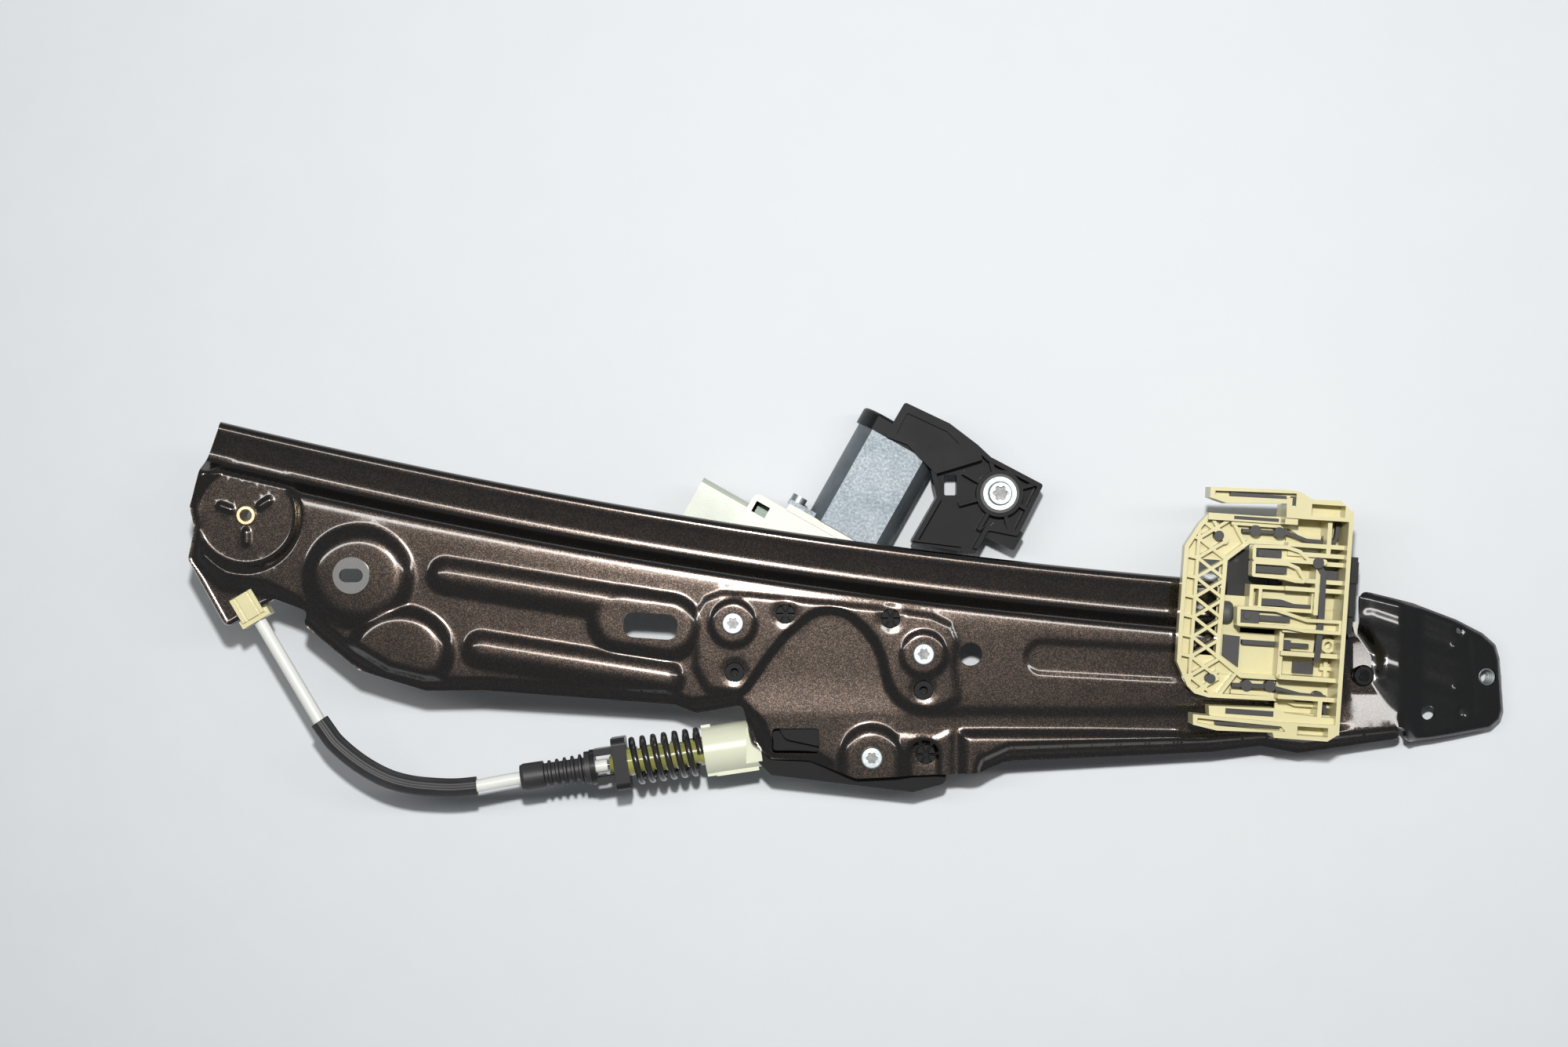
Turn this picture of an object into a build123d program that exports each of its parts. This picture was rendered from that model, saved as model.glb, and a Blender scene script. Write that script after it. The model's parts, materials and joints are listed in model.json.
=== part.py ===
from build123d import *
import math
import os

os.makedirs("parts", exist_ok=True)

# A single-rail cable window regulator for a rear side door, lying flat. Millimetres.
# The front face of the pressed plate is z = 0, +Z looks out of that face, +X runs
# along the rail towards its lower end, and the origin is the round locating hole.

# ---- pressed plate and rail
sheet = 1.5                     # steel thickness
slope = 45                      # wall angle of the pressed forms, from the vertical
rib_slope = 58                  # the ribs' walls lie flatter
rail_x, rail_y = 320.0, 2748.5  # centre that the curved rail is bent about
rail_edge_r = 2726.0            # outer edge of the rail flange
rail_root_r = 2741.3            # foot of the step between flange and plate
rail_crest_r = 2749.4           # top of that step
rail_left_deg = 13.52           # upper end of the rail, from the -Y direction
rail_right_deg = 3.33           # lower end of the rail
flange_z = -8.5                 # flange face at the foot of the step
flange_lift = 2.3               # how far the flange rises from there to its edge
lip_depth = 5.0                 # rolled outer lip
lip_bend = 3.0
step_bend = 6.0

locating_r = 4.9
screw_hole_r = 3.1
boss_r = 10.0
boss_h = 1.6
pin_hole_r = 4.2

drum_x, drum_y = -58.1, -12.5
bushing_x, bushing_y = -260.0, 33.1
slot_x, slot_y = -134.6, 11.9
slot_long, slot_wide = 22.8, 10.7
screw_spots = [(-100.0, 12.9), (-19.8, 0.0), (-41.6, -43.6)]
clip_spots = [(-77.9, 16.8), (-33.7, 14.9), (-18.8, -42.2)]
hollow_spots = [(-99.3, -7.6), (-19.8, -15.2)]

# ---- cable plane and pulleys
cable_z = -14.0
cable_r = 0.75
cable_gap = 0.25
pulley_groove_r = 19.6          # to the cable's centre
pulley_rim_r = 22.2
pulley_w = 6.6
pulley_back_z = -18.0
shaft_gap = 0.05
drum_groove_r = 21.0            # to the cable's centre
cable_arc_r = 2742.3            # the cable's run behind the flange, about the rail's centre
upper_deg = 13.09               # place of the upper pulley along the rail
lower_deg = 3.21                # place of the lower pulley


def rail_point(radius, degrees, z=0.0):
    """Point at a radius and angle about the rail's centre."""
    a = math.radians(degrees)
    return Vector(rail_x - radius * math.sin(a), rail_y - radius * math.cos(a), z)


upper_x, upper_y, _ = rail_point(cable_arc_r + pulley_groove_r, upper_deg)
lower_x, lower_y, _ = rail_point(cable_arc_r + pulley_groove_r, lower_deg)


def rail_plane(degrees):
    """Plane through the rail's axis: local x is the radius, local y is z."""
    a = math.radians(degrees)
    return Plane(origin=(rail_x, rail_y, 0), x_dir=(-math.sin(a), -math.cos(a), 0),
                 z_dir=(-math.cos(a), math.sin(a), 0))


def rail_sweep(face, left_deg, right_deg):
    """Sweep a radius-height face along the rail between two angles."""
    axis = Axis((rail_x, rail_y, 0), (0, 0, 1))
    return revolve(rail_plane(left_deg) * face, axis=axis, revolution_arc=left_deg - right_deg)


def rounded(points, radius):
    """Flat face inside a closed outline with rounded corners."""
    return make_face(FilletPolyline(points, radius=radius, close=True))


def pad(face, height, lean=slope, top_round=0.0):
    """Pressed form that stands on the plate with sloping walls."""
    body = extrude(face, amount=height, taper=lean)
    if top_round:
        top = body.edges().filter_by(lambda e: abs(e.center().Z - height) < 0.01)
        body = fillet(top, top_round)
    return body


def rail_shell(join_r):
    """Rolled lip, flange and step of the rail as one bent strip."""
    return rail_sweep(trace(rail_line(join_r), sheet), rail_left_deg, rail_right_deg)


def rail_line(join_r):
    """Middle line of the rail's section, as radius and height."""
    tip_z = flange_z + flange_lift
    half = sheet / 2
    return FilletPolyline(
        (rail_edge_r + half, tip_z - lip_depth), (rail_edge_r + half, tip_z - half),
        (rail_root_r, flange_z - half), (rail_crest_r, -half), (join_r, -half),
        radius=[lip_bend, step_bend, step_bend])


plate_outline = [
    (-318.5, 84.0), (-324.5, 78.0), (-329.5, 62.0), (-327.5, 53.0), (-330.0, 40.0),
    (-313.9, 11.2), (-293.7, 23.2), (-279.0, 17.9), (-281.5, 12.5), (-257.9, -6.9),
    (-229.5, -15.6), (-205.3, -15.4), (-124.4, -21.4), (-115.4, -25.0), (-96.0, -21.5),
    (-91.7, -38.0), (-84.0, -44.5), (-67.7, -45.1), (-48.0, -52.3), (-9.6, -50.6),
    (4.0, -50.0), (14.5, -45.5), (101.5, -41.4), (122.4, -38.8), (138.3, -41.9),
    (182.0, -35.5), (174.6, -22.0), (168.6, -12.0), (169.3, -1.3), (163.0, 8.0),
    (162.0, 30.0)]

plateau_outline = [
    (-332.0, 96.0), (-328.0, 80.0), (-324.0, 62.0), (-322.0, 53.0), (-324.5, 41.0),
    (-314.0, 31.0), (-296.0, 29.0), (-283.0, 24.0), (-272.0, 11.0), (-262.0, 1.0),
    (-245.0, -8.0), (-230.0, -10.8), (-205.0, -10.8), (-128.0, -17.0), (-117.0, -19.5),
    (-97.0, -17.0), (-88.0, -29.0), (-83.0, -38.5), (-66.0, -40.0), (-58.0, -46.0),
    (-54.0, -60.0), (-29.0, -60.0), (-25.0, -47.0), (-8.0, -46.0), (6.0, -43.0), (16.0, -40.5),
    (100.0, -36.5), (122.0, -34.0), (140.0, -36.5), (196.0, -29.0), (186.0, -10.0), (180.0, 5.0),
    (175.0, 60.0)]
border_z = -5.0                 # level of the border below the plateau

dish_r = 22.5
dish_depth = 3.5
rib_h = 3.0
groove_depth = 2.4              # stiffening groove beside the glass carrier
drum_pad_h = 1.0                # raised field round the drum's screws
drum_pad_outline = [(-119.0, 20.0), (-108.0, 24.0), (-90.0, 24.2), (-34.0, 17.6), (-8.0, 12.5), (-7.0, -2.0),
                    (-4.0, -20.5), (-12.0, -24.0), (-30.0, -30.0), (-60.0, -30.0), (-92.0, -18.5),
                    (-112.0, -15.5), (-118.0, 0.0)]
recess_depth = 0.9              # flat seat of the drum, sunk below the field
recess_outline = [(-76.0, 10.5), (-69.0, 16.0), (-56.0, 17.5), (-44.0, 14.5), (-37.0, 5.0), (-32.0, -8.0),
                  (-28.0, -20.0), (-22.0, -29.0), (-46.0, -31.0), (-56.0, -40.0), (-60.0, -60.0),
                  (-96.0, -60.0), (-96.0, -22.0), (-91.0, -17.0), (-86.0, -3.0)]
shoulder_h = 2.0                # stiffening step along the plate's lower edge
shoulder_outline = [(0.0, -36.0), (14.0, -34.0), (70.0, -33.0), (150.0, -29.5), (200.0, -26.0),
                    (200.0, -60.0),
                    (0.0, -60.0)]


def band(start, end, width, end_round=0.95):
    """Flat rounded bar between two points."""
    a, b = Vector(*start), Vector(*end)
    length = (b - a).length + width * 0.5
    angle = math.degrees(math.atan2(b.Y - a.Y, b.X - a.X))
    middle = (a + b) * 0.5
    bar = RectangleRounded(length, width, width / 2 * end_round)
    return Pos(middle.X, middle.Y, 0) * Rot(0, 0, angle) * bar


def plate_panel(join_r):
    """The pressed field of the plate, as the skin of a relief block."""
    floor_z = -20.0
    block = extrude(make_face(Polyline(plateau_outline, close=True)), amount=floor_z, taper=-slope)
    border = Polyline([(-345, 110), (-345, -80), (200, -80), (200, 60)], close=True)
    block += extrude(Pos(0, 0, floor_z) * make_face(border), amount=border_z - floor_z)
    block += pad(Pos(bushing_x, bushing_y) * Circle(bushing_boss_r), bushing_boss_h, top_round=2.0)
    block += pad(Pos(-238, 3.2) * Ellipse(23.5, 19.5), 5.0)
    block += pad(band((-221, 33.4), (-152, 22.2), 18.0), rib_h, rib_slope)
    block += pad(band((-206, 2.2), (-132, -9.8), 18.0), rib_h, rib_slope)
    block += pad(band((-150, 15.6), (-118, 10.6), 28.0, 0.6), rib_h, rib_slope)
    block += pad(make_face(Polyline(drum_pad_outline, close=True)), drum_pad_h)
    recess = make_face(Polyline(recess_outline, close=True))
    for x, y in screw_spots:
        recess -= Pos(x, y) * Circle(boss_r + 2 * boss_h)
        block += pad(Pos(x, y) * Circle(boss_r + boss_h), boss_h)
    block -= Pos(0, 0, -recess_depth) * extrude(recess, amount=20)
    block -= extrude(band((26, -0.4), (141, -7.0), 15.0), amount=-groove_depth, taper=rib_slope)
    shoulder = pad(make_face(Polyline(shoulder_outline, close=True)), shoulder_h, rib_slope)
    rim = extrude(make_face(Polyline(plateau_outline, close=True)), amount=floor_z, taper=-slope)
    block += shoulder & Pos(0, 0, shoulder_h) * rim
    dish = extrude(Pos(upper_x, upper_y) * Circle(dish_r), amount=-dish_depth, taper=slope)
    keep = make_face(Polyline([(join_r - 9, 1), (join_r + 1.5, 1), (join_r + 1.5, 0),
                               (join_r + 7, -5.5), (join_r - 9, -5.5)], close=True))
    block -= dish - rail_sweep(keep, rail_left_deg + 2, rail_right_deg)
    skin = block - Pos(0, 0, -sheet) * block
    outline = [(-305, 95)] + plate_outline[1:-1] + [(162, 45)]
    skin = skin & extrude(Pos(0, 0, -15) * rounded(outline, 1.2), amount=30)
    return skin - Pos(rail_x, rail_y, -20) * extrude(Circle(join_r), amount=40)


def hole(x, y, radius, low=-30.0, high=30.0):
    """Cutter for a round hole through the plate."""
    return Pos(x, y, low) * extrude(Circle(radius), amount=high - low)


def rail_plate():
    join_r = rail_crest_r + 3.0
    plate = plate_panel(join_r) + rail_shell(join_r)
    plate -= hole(0, 0, locating_r)
    for x, y in screw_spots:
        plate -= hole(x, y, screw_hole_r)
    for x, y in clip_spots + hollow_spots:
        plate -= hole(x, y, pin_hole_r)
    plate -= hole(upper_x, upper_y, rivet_r)
    plate -= hole(lower_x, lower_y, rivet_r)
    plate -= hole(bushing_x, bushing_y, bushing_neck_r)
    slot = Pos(slot_x, slot_y, -15) * Rot(0, 0, -4) * SlotOverall(slot_long, slot_wide)
    plate -= extrude(slot, amount=30)
    pocket = Pos(-73.6, -36.6, -15) * RectangleRounded(20.0, 10.5, 2.0)
    plate -= extrude(pocket, amount=30)
    plate -= extrude(Pos(0, 0, -20) * end_fitting_seat(0.3), amount=30)
    return plate


# ---- lower end bracket
bracket_t = 2.0
bracket_outline = [
    (150.0, -2.0), (160.5, 1.0), (164.0, 7.0), (164.0, 27.0), (187.8, 21.2), (206.6, 14.2), (218.5, 8.3),
    (224.4, 3.3), (226.2, -2.6), (227.8, -24.4), (226.4, -28.8), (222.0, -32.4), (196.7, -36.3),
    (184.0, -37.6), (183.5, -31.0), (150.0, -29.0)]
bracket_steps = [(145.0, -1.5), (184.0, -1.5), (190.0, -6.0), (207.0, -7.5), (232.0, -12.86)]
nut_x, nut_y = 220.1, -10.2
nut_thread_r = 3.4
nut_flat = 13.0
nut_h = 6.5
bracket_hole = (194.0, -25.1)
bracket_hole_r = 3.0


def bracket_face_z(x):
    """Height of the bracket's front face."""
    for (x0, z0), (x1, z1) in zip(bracket_steps, bracket_steps[1:]):
        if x <= x1:
            return z0 + (z1 - z0) * (x - x0) / (x1 - x0)
    return bracket_steps[-1][1]


nut_tilt = math.degrees(math.atan2(-(bracket_steps[-1][1] - bracket_steps[-2][1]),
                                   bracket_steps[-1][0] - bracket_steps[-2][0]))


def nut_place():
    """Centre of the threaded hole on the bracket's front face, z along the hole."""
    return Pos(nut_x, nut_y, bracket_face_z(nut_x)) * Rot(0, nut_tilt, 0)


def end_bracket():
    front = [(x, z) for x, z in bracket_steps]
    back = [(x, z - bracket_t) for x, z in reversed(bracket_steps)]
    profile = Plane.XZ * make_face(Polyline(front + back, close=True))
    sheet_body = extrude(profile, amount=60, both=True)
    body = sheet_body & extrude(Pos(0, 0, -30) * rounded(bracket_outline, 1.5), amount=40)
    body -= hole(lower_x, lower_y, rivet_r)
    body -= hole(bracket_hole[0], bracket_hole[1], bracket_hole_r)
    body -= hole(209.1, -24.4, 2.0)
    body -= hole(207.6, 9.9, 2.0)
    body -= nut_place() * extrude(Circle(nut_thread_r + 0.8), amount=8, both=True)
    return body


def weld_nut():
    nut = extrude(RegularPolygon(nut_flat / 2, 6, major_radius=False), amount=-nut_h)
    nut -= Pos(0, 0, -nut_h - 1) * extrude(Circle(nut_thread_r), amount=nut_h + 2)
    return nut_place() * Pos(0, 0, -bracket_t) * nut


# ---- mounting bushing and pulley rivets
bushing_boss_r = 21.0
bushing_boss_h = 4.0
bushing_flange_r = 7.7
bushing_neck_r = 6.2
bushing_slot = (10.0, 5.7)
rivet_r = 4.0
rivet_bore_r = 2.6


def mounting_bushing():
    top = bushing_boss_h
    body = Pos(0, 0, top) * extrude(Circle(bushing_flange_r), amount=1.2)
    body += Pos(0, 0, top - sheet) * extrude(Circle(bushing_neck_r), amount=sheet)
    body += Pos(0, 0, top - sheet - 3.0) * extrude(Circle(bushing_flange_r), amount=3.0)
    body -= Pos(0, 0, -10) * extrude(SlotOverall(*bushing_slot), amount=30)
    return Pos(bushing_x, bushing_y, 0) * body


def pulley_rivet(x, y, seat_z):
    """Hollow rivet that is flared over the plate and carries a pulley behind it."""
    back = pulley_back_z - 0.4
    points = [(rivet_bore_r, seat_z + 1.4), (rivet_bore_r + 1.2, seat_z + 1.4),
              (rivet_r + 0.5, seat_z + 0.5),
              (rivet_r + 0.5, seat_z), (rivet_r, seat_z), (rivet_r, back), (rivet_r + 3.5, back),
              (rivet_r + 3.5, back - 1.5), (rivet_bore_r, back - 1.5)]
    face = Plane.XZ * make_face(Polyline(points, close=True))
    return Pos(x, y, 0) * revolve(face, axis=Axis.Z)


def pulley(x, y, front_z):
    """Cable pulley with a round groove, a web and a hub that runs on the rivet."""
    half = pulley_w / 2
    floor_r = pulley_groove_r - cable_r - cable_gap
    points = [(rivet_r + shaft_gap, front_z), (rivet_r + 3.5, front_z), (rivet_r + 3.5, cable_z + 1.6),
              (15.5, cable_z + 1.6), (16.2, cable_z + half), (pulley_rim_r, cable_z + half),
              (pulley_rim_r, cable_z + half - 0.7), (floor_r, cable_z + cable_r + 0.4),
              (floor_r, cable_z - cable_r - 0.4), (pulley_rim_r, cable_z - half + 0.7),
              (pulley_rim_r, cable_z - half), (16.2, cable_z - half), (15.5, cable_z - 1.6),
              (rivet_r + 3.5, cable_z - 1.6), (rivet_r + 3.5, pulley_back_z),
              (rivet_r + shaft_gap, pulley_back_z)]
    face = Plane.XZ * make_face(Polyline(points, close=True))
    wheel = revolve(face, axis=Axis.Z)
    for i in range(6):
        spot = Rot(0, 0, 60 * i) * Pos(11.5, 0, cable_z - 5)
        wheel -= spot * extrude(Circle(2.6), amount=10)
    return Pos(x, y, 0) * wheel


# ---- conduit end fitting
fitting_angle = -59.3           # direction of the conduit where it leaves
fitting_long, fitting_wide, fitting_high = 15.0, 13.5, 13.0
fitting_drop = 33.0             # from the cable's last touch on the pulley to the fitting's middle
fitting_way = Vector(1, 0, 0).rotate(Axis.Z, fitting_angle)
upper_touch = Vector(upper_x, upper_y) + Vector(0, -1, 0).rotate(Axis.Z, fitting_angle) * pulley_groove_r
fitting_x, fitting_y, _ = upper_touch + fitting_way * fitting_drop


def end_fitting_seat(gap):
    """Outline of the fitting where the plate's tab is notched round it."""
    return Pos(fitting_x, fitting_y) * Rot(0, 0, fitting_angle) * Rectangle(
        fitting_long - 4.0 + 2 * gap, fitting_wide - 3.0 + 2 * gap)


def end_fitting():
    """Stepped block that the conduit plugs into, gripping the tab by two side grooves."""
    body = Pos(0, 0, cable_z) * Box(fitting_long, fitting_wide, fitting_high)
    seat_z = border_z - sheet / 2
    groove = Pos(0, 0, 0.25) * Box(fitting_long + 1, fitting_wide + 1, sheet + 1.1)
    groove -= Box(fitting_long - 4.0, fitting_wide - 3.0, sheet + 2)
    body = Pos(0, 0, 3.2) * body
    body -= Pos(0, 0, seat_z) * groove
    for side in (-1, 1):
        body -= Pos(0, side * 3.0, cable_z + 3.2 + fitting_high / 2) * Box(fitting_long + 1, 1.2, 3.0)
    body -= Pos(fitting_long / 2 - conduit_plug, 0, cable_z) * Rot(0, 90, 0) * extrude(
        Circle(conduit_r + cable_gap), amount=conduit_plug + 1)
    body -= Pos(-fitting_long, 0, cable_z) * Rot(0, 90, 0) * extrude(Circle(cable_r + cable_gap), amount=40)
    return Pos(fitting_x, fitting_y) * Rot(0, 0, fitting_angle) * body


# ---- conduit from the upper end fitting to the tensioner
conduit_r = 2.75
conduit_bore_r = 1.2
conduit_plug = 5.0
sleeve_r = 4.1
sleeve_from, sleeve_to = 0.29, 0.70  # shares of the conduit's length
first_bend = 78.0               # from the upper pulley to the conduit's first corner
conduit_corners = [(-270.5, -39.0), (-247.0, -55.4), (-217.0, -58.4)]
last_bend = 105.0               # last corner, along the tensioner's axis from the nozzle's root


def arc_radii(points):
    """Largest tangent arc that each corner's two runs allow."""
    radii = []
    for a, b, c in zip(points, points[1:], points[2:]):
        run_in, run_out = Vector(*b) - Vector(*a), Vector(*c) - Vector(*b)
        turn = math.radians(run_in.get_angle(run_out))
        radii.append(0.45 * min(run_in.length, run_out.length) / math.tan(turn / 2))
    return radii


def tube(path, outer, inner):
    """Round tube along a path of straight runs and arcs."""
    plane = Plane(origin=path @ 0, z_dir=path % 0)
    ring = plane * (Circle(outer) - Circle(inner)) if inner else plane * Circle(outer)
    return sweep(ring, path=path)


# ---- tensioner: nozzle on the drum housing, spring, seat, inner sleeve and bellows boot
nozzle_angle = 188.4            # direction from the nozzle towards the conduit
nozzle_reach = 34.0             # from the cable's touch on the drum to the nozzle's root
nozzle_long = 24.0
nozzle_r = 10.2
spring_r = 9.0                  # to the wire's centre
spring_wire_r = 1.35
spring_turns = 6.5
spring_pitch = 4.6
seat_t = 6.0
seat_wide = 22.0
inner_sleeve_r = 6.0
boot_long = 30.0
boot_r = 5.8


tension_way = Vector(1, 0, 0).rotate(Axis.Z, nozzle_angle)
drum_touch = Vector(drum_x, drum_y, cable_z) + Vector(0, 1, 0).rotate(Axis.Z, nozzle_angle) * drum_groove_r


def tension_point(distance):
    """Point on the tensioner's axis at a distance from the nozzle's root."""
    return drum_touch + tension_way * (nozzle_reach + distance)


def tension_place(distance):
    """Frame at such a point, z towards the conduit."""
    return Plane(origin=tension_point(distance), x_dir=(0, 0, 1), z_dir=tension_way)


spring_long = spring_pitch * spring_turns
spring_start = nozzle_long
seat_start = spring_start + spring_long + 2 * spring_wire_r
arm_long = 8.0
boot_start = seat_start + seat_t + arm_long


def cable_nozzle():
    body = Cylinder(nozzle_r, nozzle_long, align=(Align.CENTER, Align.CENTER, Align.MIN))
    body += Pos(0, 0, nozzle_long - 4) * Box(5, 2 * nozzle_r + 1.6, 4,
                                             align=(Align.CENTER, Align.CENTER, Align.MIN))
    body += Pos(0, -nozzle_r, 2) * Box(6, 2.4, nozzle_long - 6,
                                       align=(Align.CENTER, Align.CENTER, Align.MIN))
    body -= Pos(0, 0, 6) * Cylinder(inner_sleeve_r + 0.3, nozzle_long,
                                    align=(Align.CENTER, Align.CENTER, Align.MIN))
    body -= Cylinder(cable_r + 0.6, 3 * nozzle_long)
    return tension_place(0) * body - block(-94.5, -80.0, -60.0, -20.0, ledge_top - 0.1, 0.0)


def adjuster_sleeve():
    """Inner tube that slides in the nozzle and carries the conduit's end."""
    long = seat_start + seat_t - 10.0 - 1.0
    body = Cylinder(inner_sleeve_r, long, align=(Align.CENTER, Align.CENTER, Align.MIN))
    body += Pos(0, 0, long) * Cone(inner_sleeve_r, 3.2, 3.0, align=(Align.CENTER, Align.CENTER, Align.MIN))
    for i in range(5):
        z = spring_start - 10 + 3 + i * 6.0
        body -= Pos(0, 0, z) * (Box(20, 20, 2.2) - Cylinder(inner_sleeve_r - 0.9, 4))
    body -= Cylinder(cable_r + 0.5, 4 * long)
    return tension_place(10.0) * body


def tension_spring():
    """Open coil spring on the sleeve, with each end turn closed."""
    path = Helix(spring_pitch, spring_long, spring_r)
    ring = Plane(origin=path @ 0, z_dir=path % 0) * Circle(spring_wire_r)
    return tension_place(spring_start + spring_wire_r) * sweep(ring, path=path, is_frenet=True)


def spring_seat():
    """Flanged black clip that the spring pushes on, with two slotted arms to the boot."""
    body = Box(18.0, seat_wide, seat_t, align=(Align.CENTER, Align.CENTER, Align.MIN))
    body = fillet(body.edges().filter_by(Axis.Z), 3.0)
    for side in (-1, 1):
        body += Pos(0, side * 6.0, seat_t) * Box(9.0, 3.0, arm_long,
                                                 align=(Align.CENTER, Align.CENTER, Align.MIN))
    body -= Cylinder(inner_sleeve_r + 0.3, 6 * seat_t)
    collar = Cylinder(7.5, 2.0, align=(Align.CENTER, Align.CENTER, Align.MIN))
    body += Pos(0, 0, seat_t + arm_long) * (collar - Cylinder(conduit_r + 0.3, 10))
    return tension_place(seat_start) * body


def cable_boot():
    """Bellows that seals the conduit to the tensioner."""
    bore = conduit_r + 0.15
    points = [(bore, 0), (7.0, 0), (7.0, 2.2), (4.6, 2.2)]
    for i in range(5):
        z = 3.2 + 3.3 * i
        points += [(4.6, z), (6.2 - 0.15 * i, z + 0.5), (6.2 - 0.15 * i, z + 1.4), (4.6, z + 1.9)]
    points += [(4.6, 19.5), (boot_r, 20.0), (boot_r, boot_long - 1.5), (5.2, boot_long), (bore, boot_long)]
    face = Plane.XZ * make_face(Polyline(points, close=True))
    return tension_place(boot_start + 2.2) * revolve(face, axis=Axis.Z)


def conduit_corner_points():
    first = upper_touch + fitting_way * first_bend
    last = tension_point(last_bend)
    return [(first.X, first.Y)] + conduit_corners + [(last.X, last.Y)]


def conduit_path(start, end):
    """Path through the conduit's corners between two points on its end runs."""
    flat = [(start.X, start.Y)] + conduit_corner_points() + [(end.X, end.Y)]
    points = [(x, y, cable_z) for x, y in flat]
    return FilletPolyline(points, radius=arc_radii(conduit_ends(points)))


def conduit_ends(points):
    """The same corners between the conduit's own ends, so that all paths share its arcs."""
    start, end = conduit_start(), tension_point(seat_start + seat_t + 3.0)
    return [(start.X, start.Y, cable_z)] + points[1:-1] + [(end.X, end.Y, cable_z)]


def conduit_start():
    return upper_touch + fitting_way * (fitting_drop + fitting_long / 2 - conduit_plug + 0.2)


def conduit():
    path = conduit_path(conduit_start(), tension_point(seat_start + seat_t + 3.0))
    return tube(path, conduit_r, conduit_bore_r)


def conduit_sleeve():
    """Ribbed rubber sleeve over the conduit's bend."""
    path = conduit_path(conduit_start(), tension_point(seat_start + seat_t + 3.0))
    middle = path.wire().trim(sleeve_from, sleeve_to)
    return tube(middle, sleeve_r, conduit_r + 0.05)


# ---- drive: worm gear unit behind the plate
motor_angle = 60.6              # direction of the motor shaft
gear_centre = 25.0              # worm axis to wheel axis
motor_z = -31.5
wheel_r = 20.5
wheel_w = 12.0
wheel_teeth = 73
worm_r = 4.2
axle_r = 4.0
case_top = -20.5
case_bottom = -43.0
cover_t = 1.8
case_r = 25.6
case_wall = 2.0
post_r = 6.0
seam_s = 57.3                   # motor flange, along the shaft from the wheel
ear_t = 25.3                    # motor flange screws, across the shaft
can_screw_r = 1.5
bearing_seat_r = 6.0
board_z = -4.0                  # circuit board, from the shaft's height
can_long = 48.0
can_r = 18.75
can_half = 13.8
can_t = 1.6
shaft_r = 2.0
rotor_r = 10.5
rotor_long = can_long / 2
rotor_gap = can_long / 3.2      # from the motor flange to the core


def on_motor(s=0.0, t=0.0, z=0.0):
    """Frame of the drive: x along the motor shaft, y across it, z up, from the worm's middle."""
    a = math.radians(motor_angle)
    across = Vector(-math.sin(a), math.cos(a), 0)
    worm = Vector(drum_x, drum_y, motor_z) + across * gear_centre
    return Pos(worm.X, worm.Y, worm.Z) * Rot(0, 0, motor_angle) * Pos(s, t, z)


def along_shaft(start, end, radius, inner=0.0):
    """Round bar or tube on the motor shaft's axis, in the drive's frame."""
    ring = Circle(radius) - Circle(inner) if inner else Circle(radius)
    return Pos(start, 0, 0) * Rot(0, 90, 0) * extrude(ring, amount=end - start)


def upright(x, y, radius, low, high):
    return Pos(x, y, low) * extrude(Circle(radius), amount=high - low)


def gear_housing():
    low, high = case_bottom - motor_z, case_top - motor_z
    body = Pos(0, -gear_centre, low) * extrude(Circle(case_r), amount=high - low)
    tunnel = along_shaft(-18, seam_s, 9.0)
    body += tunnel
    box = Pos(39.5, 10.0, low) * extrude(RectangleRounded(30.0, 66.0, 3.0), amount=high - low)
    body += box
    body += Pos(seam_s - 1.5, 0, 0) * Box(3.0, 56.0, 24.0)
    body += Pos(20, -8, low) * extrude(Rectangle(30.0, 30.0), amount=high - low)
    body = on_motor() * body
    for x, y in screw_spots:
        body += upright(x, y, post_r, case_bottom, boss_h - sheet)
        reach = Vector(drum_x - x, drum_y - y)
        arm = Pos((x + drum_x) / 2, (y + drum_y) / 2, case_bottom) * Rot(
            0, 0, math.degrees(math.atan2(reach.Y, reach.X))) * extrude(Rectangle(reach.length, 7.0),
                                                                        amount=16.0)
        body += arm
        body -= upright(x, y, 1.9, -26.0, 5.0)
    body -= on_motor(0, -gear_centre, low - 1) * extrude(Circle(case_r - case_wall),
                                                         amount=high - low - case_wall + 1)
    body -= upright(drum_x, drum_y, axle_r + 5.0, case_bottom, 0)
    body -= on_motor() * along_shaft(-17.2, seam_s + 1, bearing_seat_r)
    bay = extrude(RectangleRounded(26.0, 24.0, 2.0), amount=high - low - case_wall + 1)
    body -= on_motor(39.5, 29.0, low - 1) * bay
    body -= on_motor(49, 37.5, high - 1.2) * Box(5.0, 6.5, 4.0)
    for side in (-1, 1):
        body -= on_motor(0, side * ear_t, 0) * along_shaft(seam_s - 5.2, seam_s + 1, can_screw_r + 0.05)
    for s, t in ((30.0, 20.5), (30.0, 37.5), (49.0, 20.5), (49.0, 32.0)):
        body += on_motor(s, t, board_z + 0.8) * extrude(Circle(1.5), amount=high - board_z - 1.6)
    return body


def gear_cover():
    plate = extrude(Circle(case_r), amount=-cover_t)
    for i in range(6):
        plate += Rot(0, 0, 60 * i) * Pos(13, 0, -cover_t) * Box(16, 1.6, 1.6,
                                                                align=(Align.CENTER, Align.CENTER,
                                                                       Align.MAX))
    plate += extrude(Circle(7.0), amount=-cover_t - 1.6)
    plate -= Pos(0, 0, -3) * extrude(Circle(axle_r), amount=6)
    side = on_motor(39.5, 29.0, case_bottom - motor_z) * extrude(RectangleRounded(29.0, 27.0, 2.5),
                                                                 amount=-cover_t)
    return Pos(drum_x, drum_y, case_bottom) * plate, side


def drum_axle():
    return upright(drum_x, drum_y, axle_r, case_bottom - 2.5, -4.2)


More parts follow.
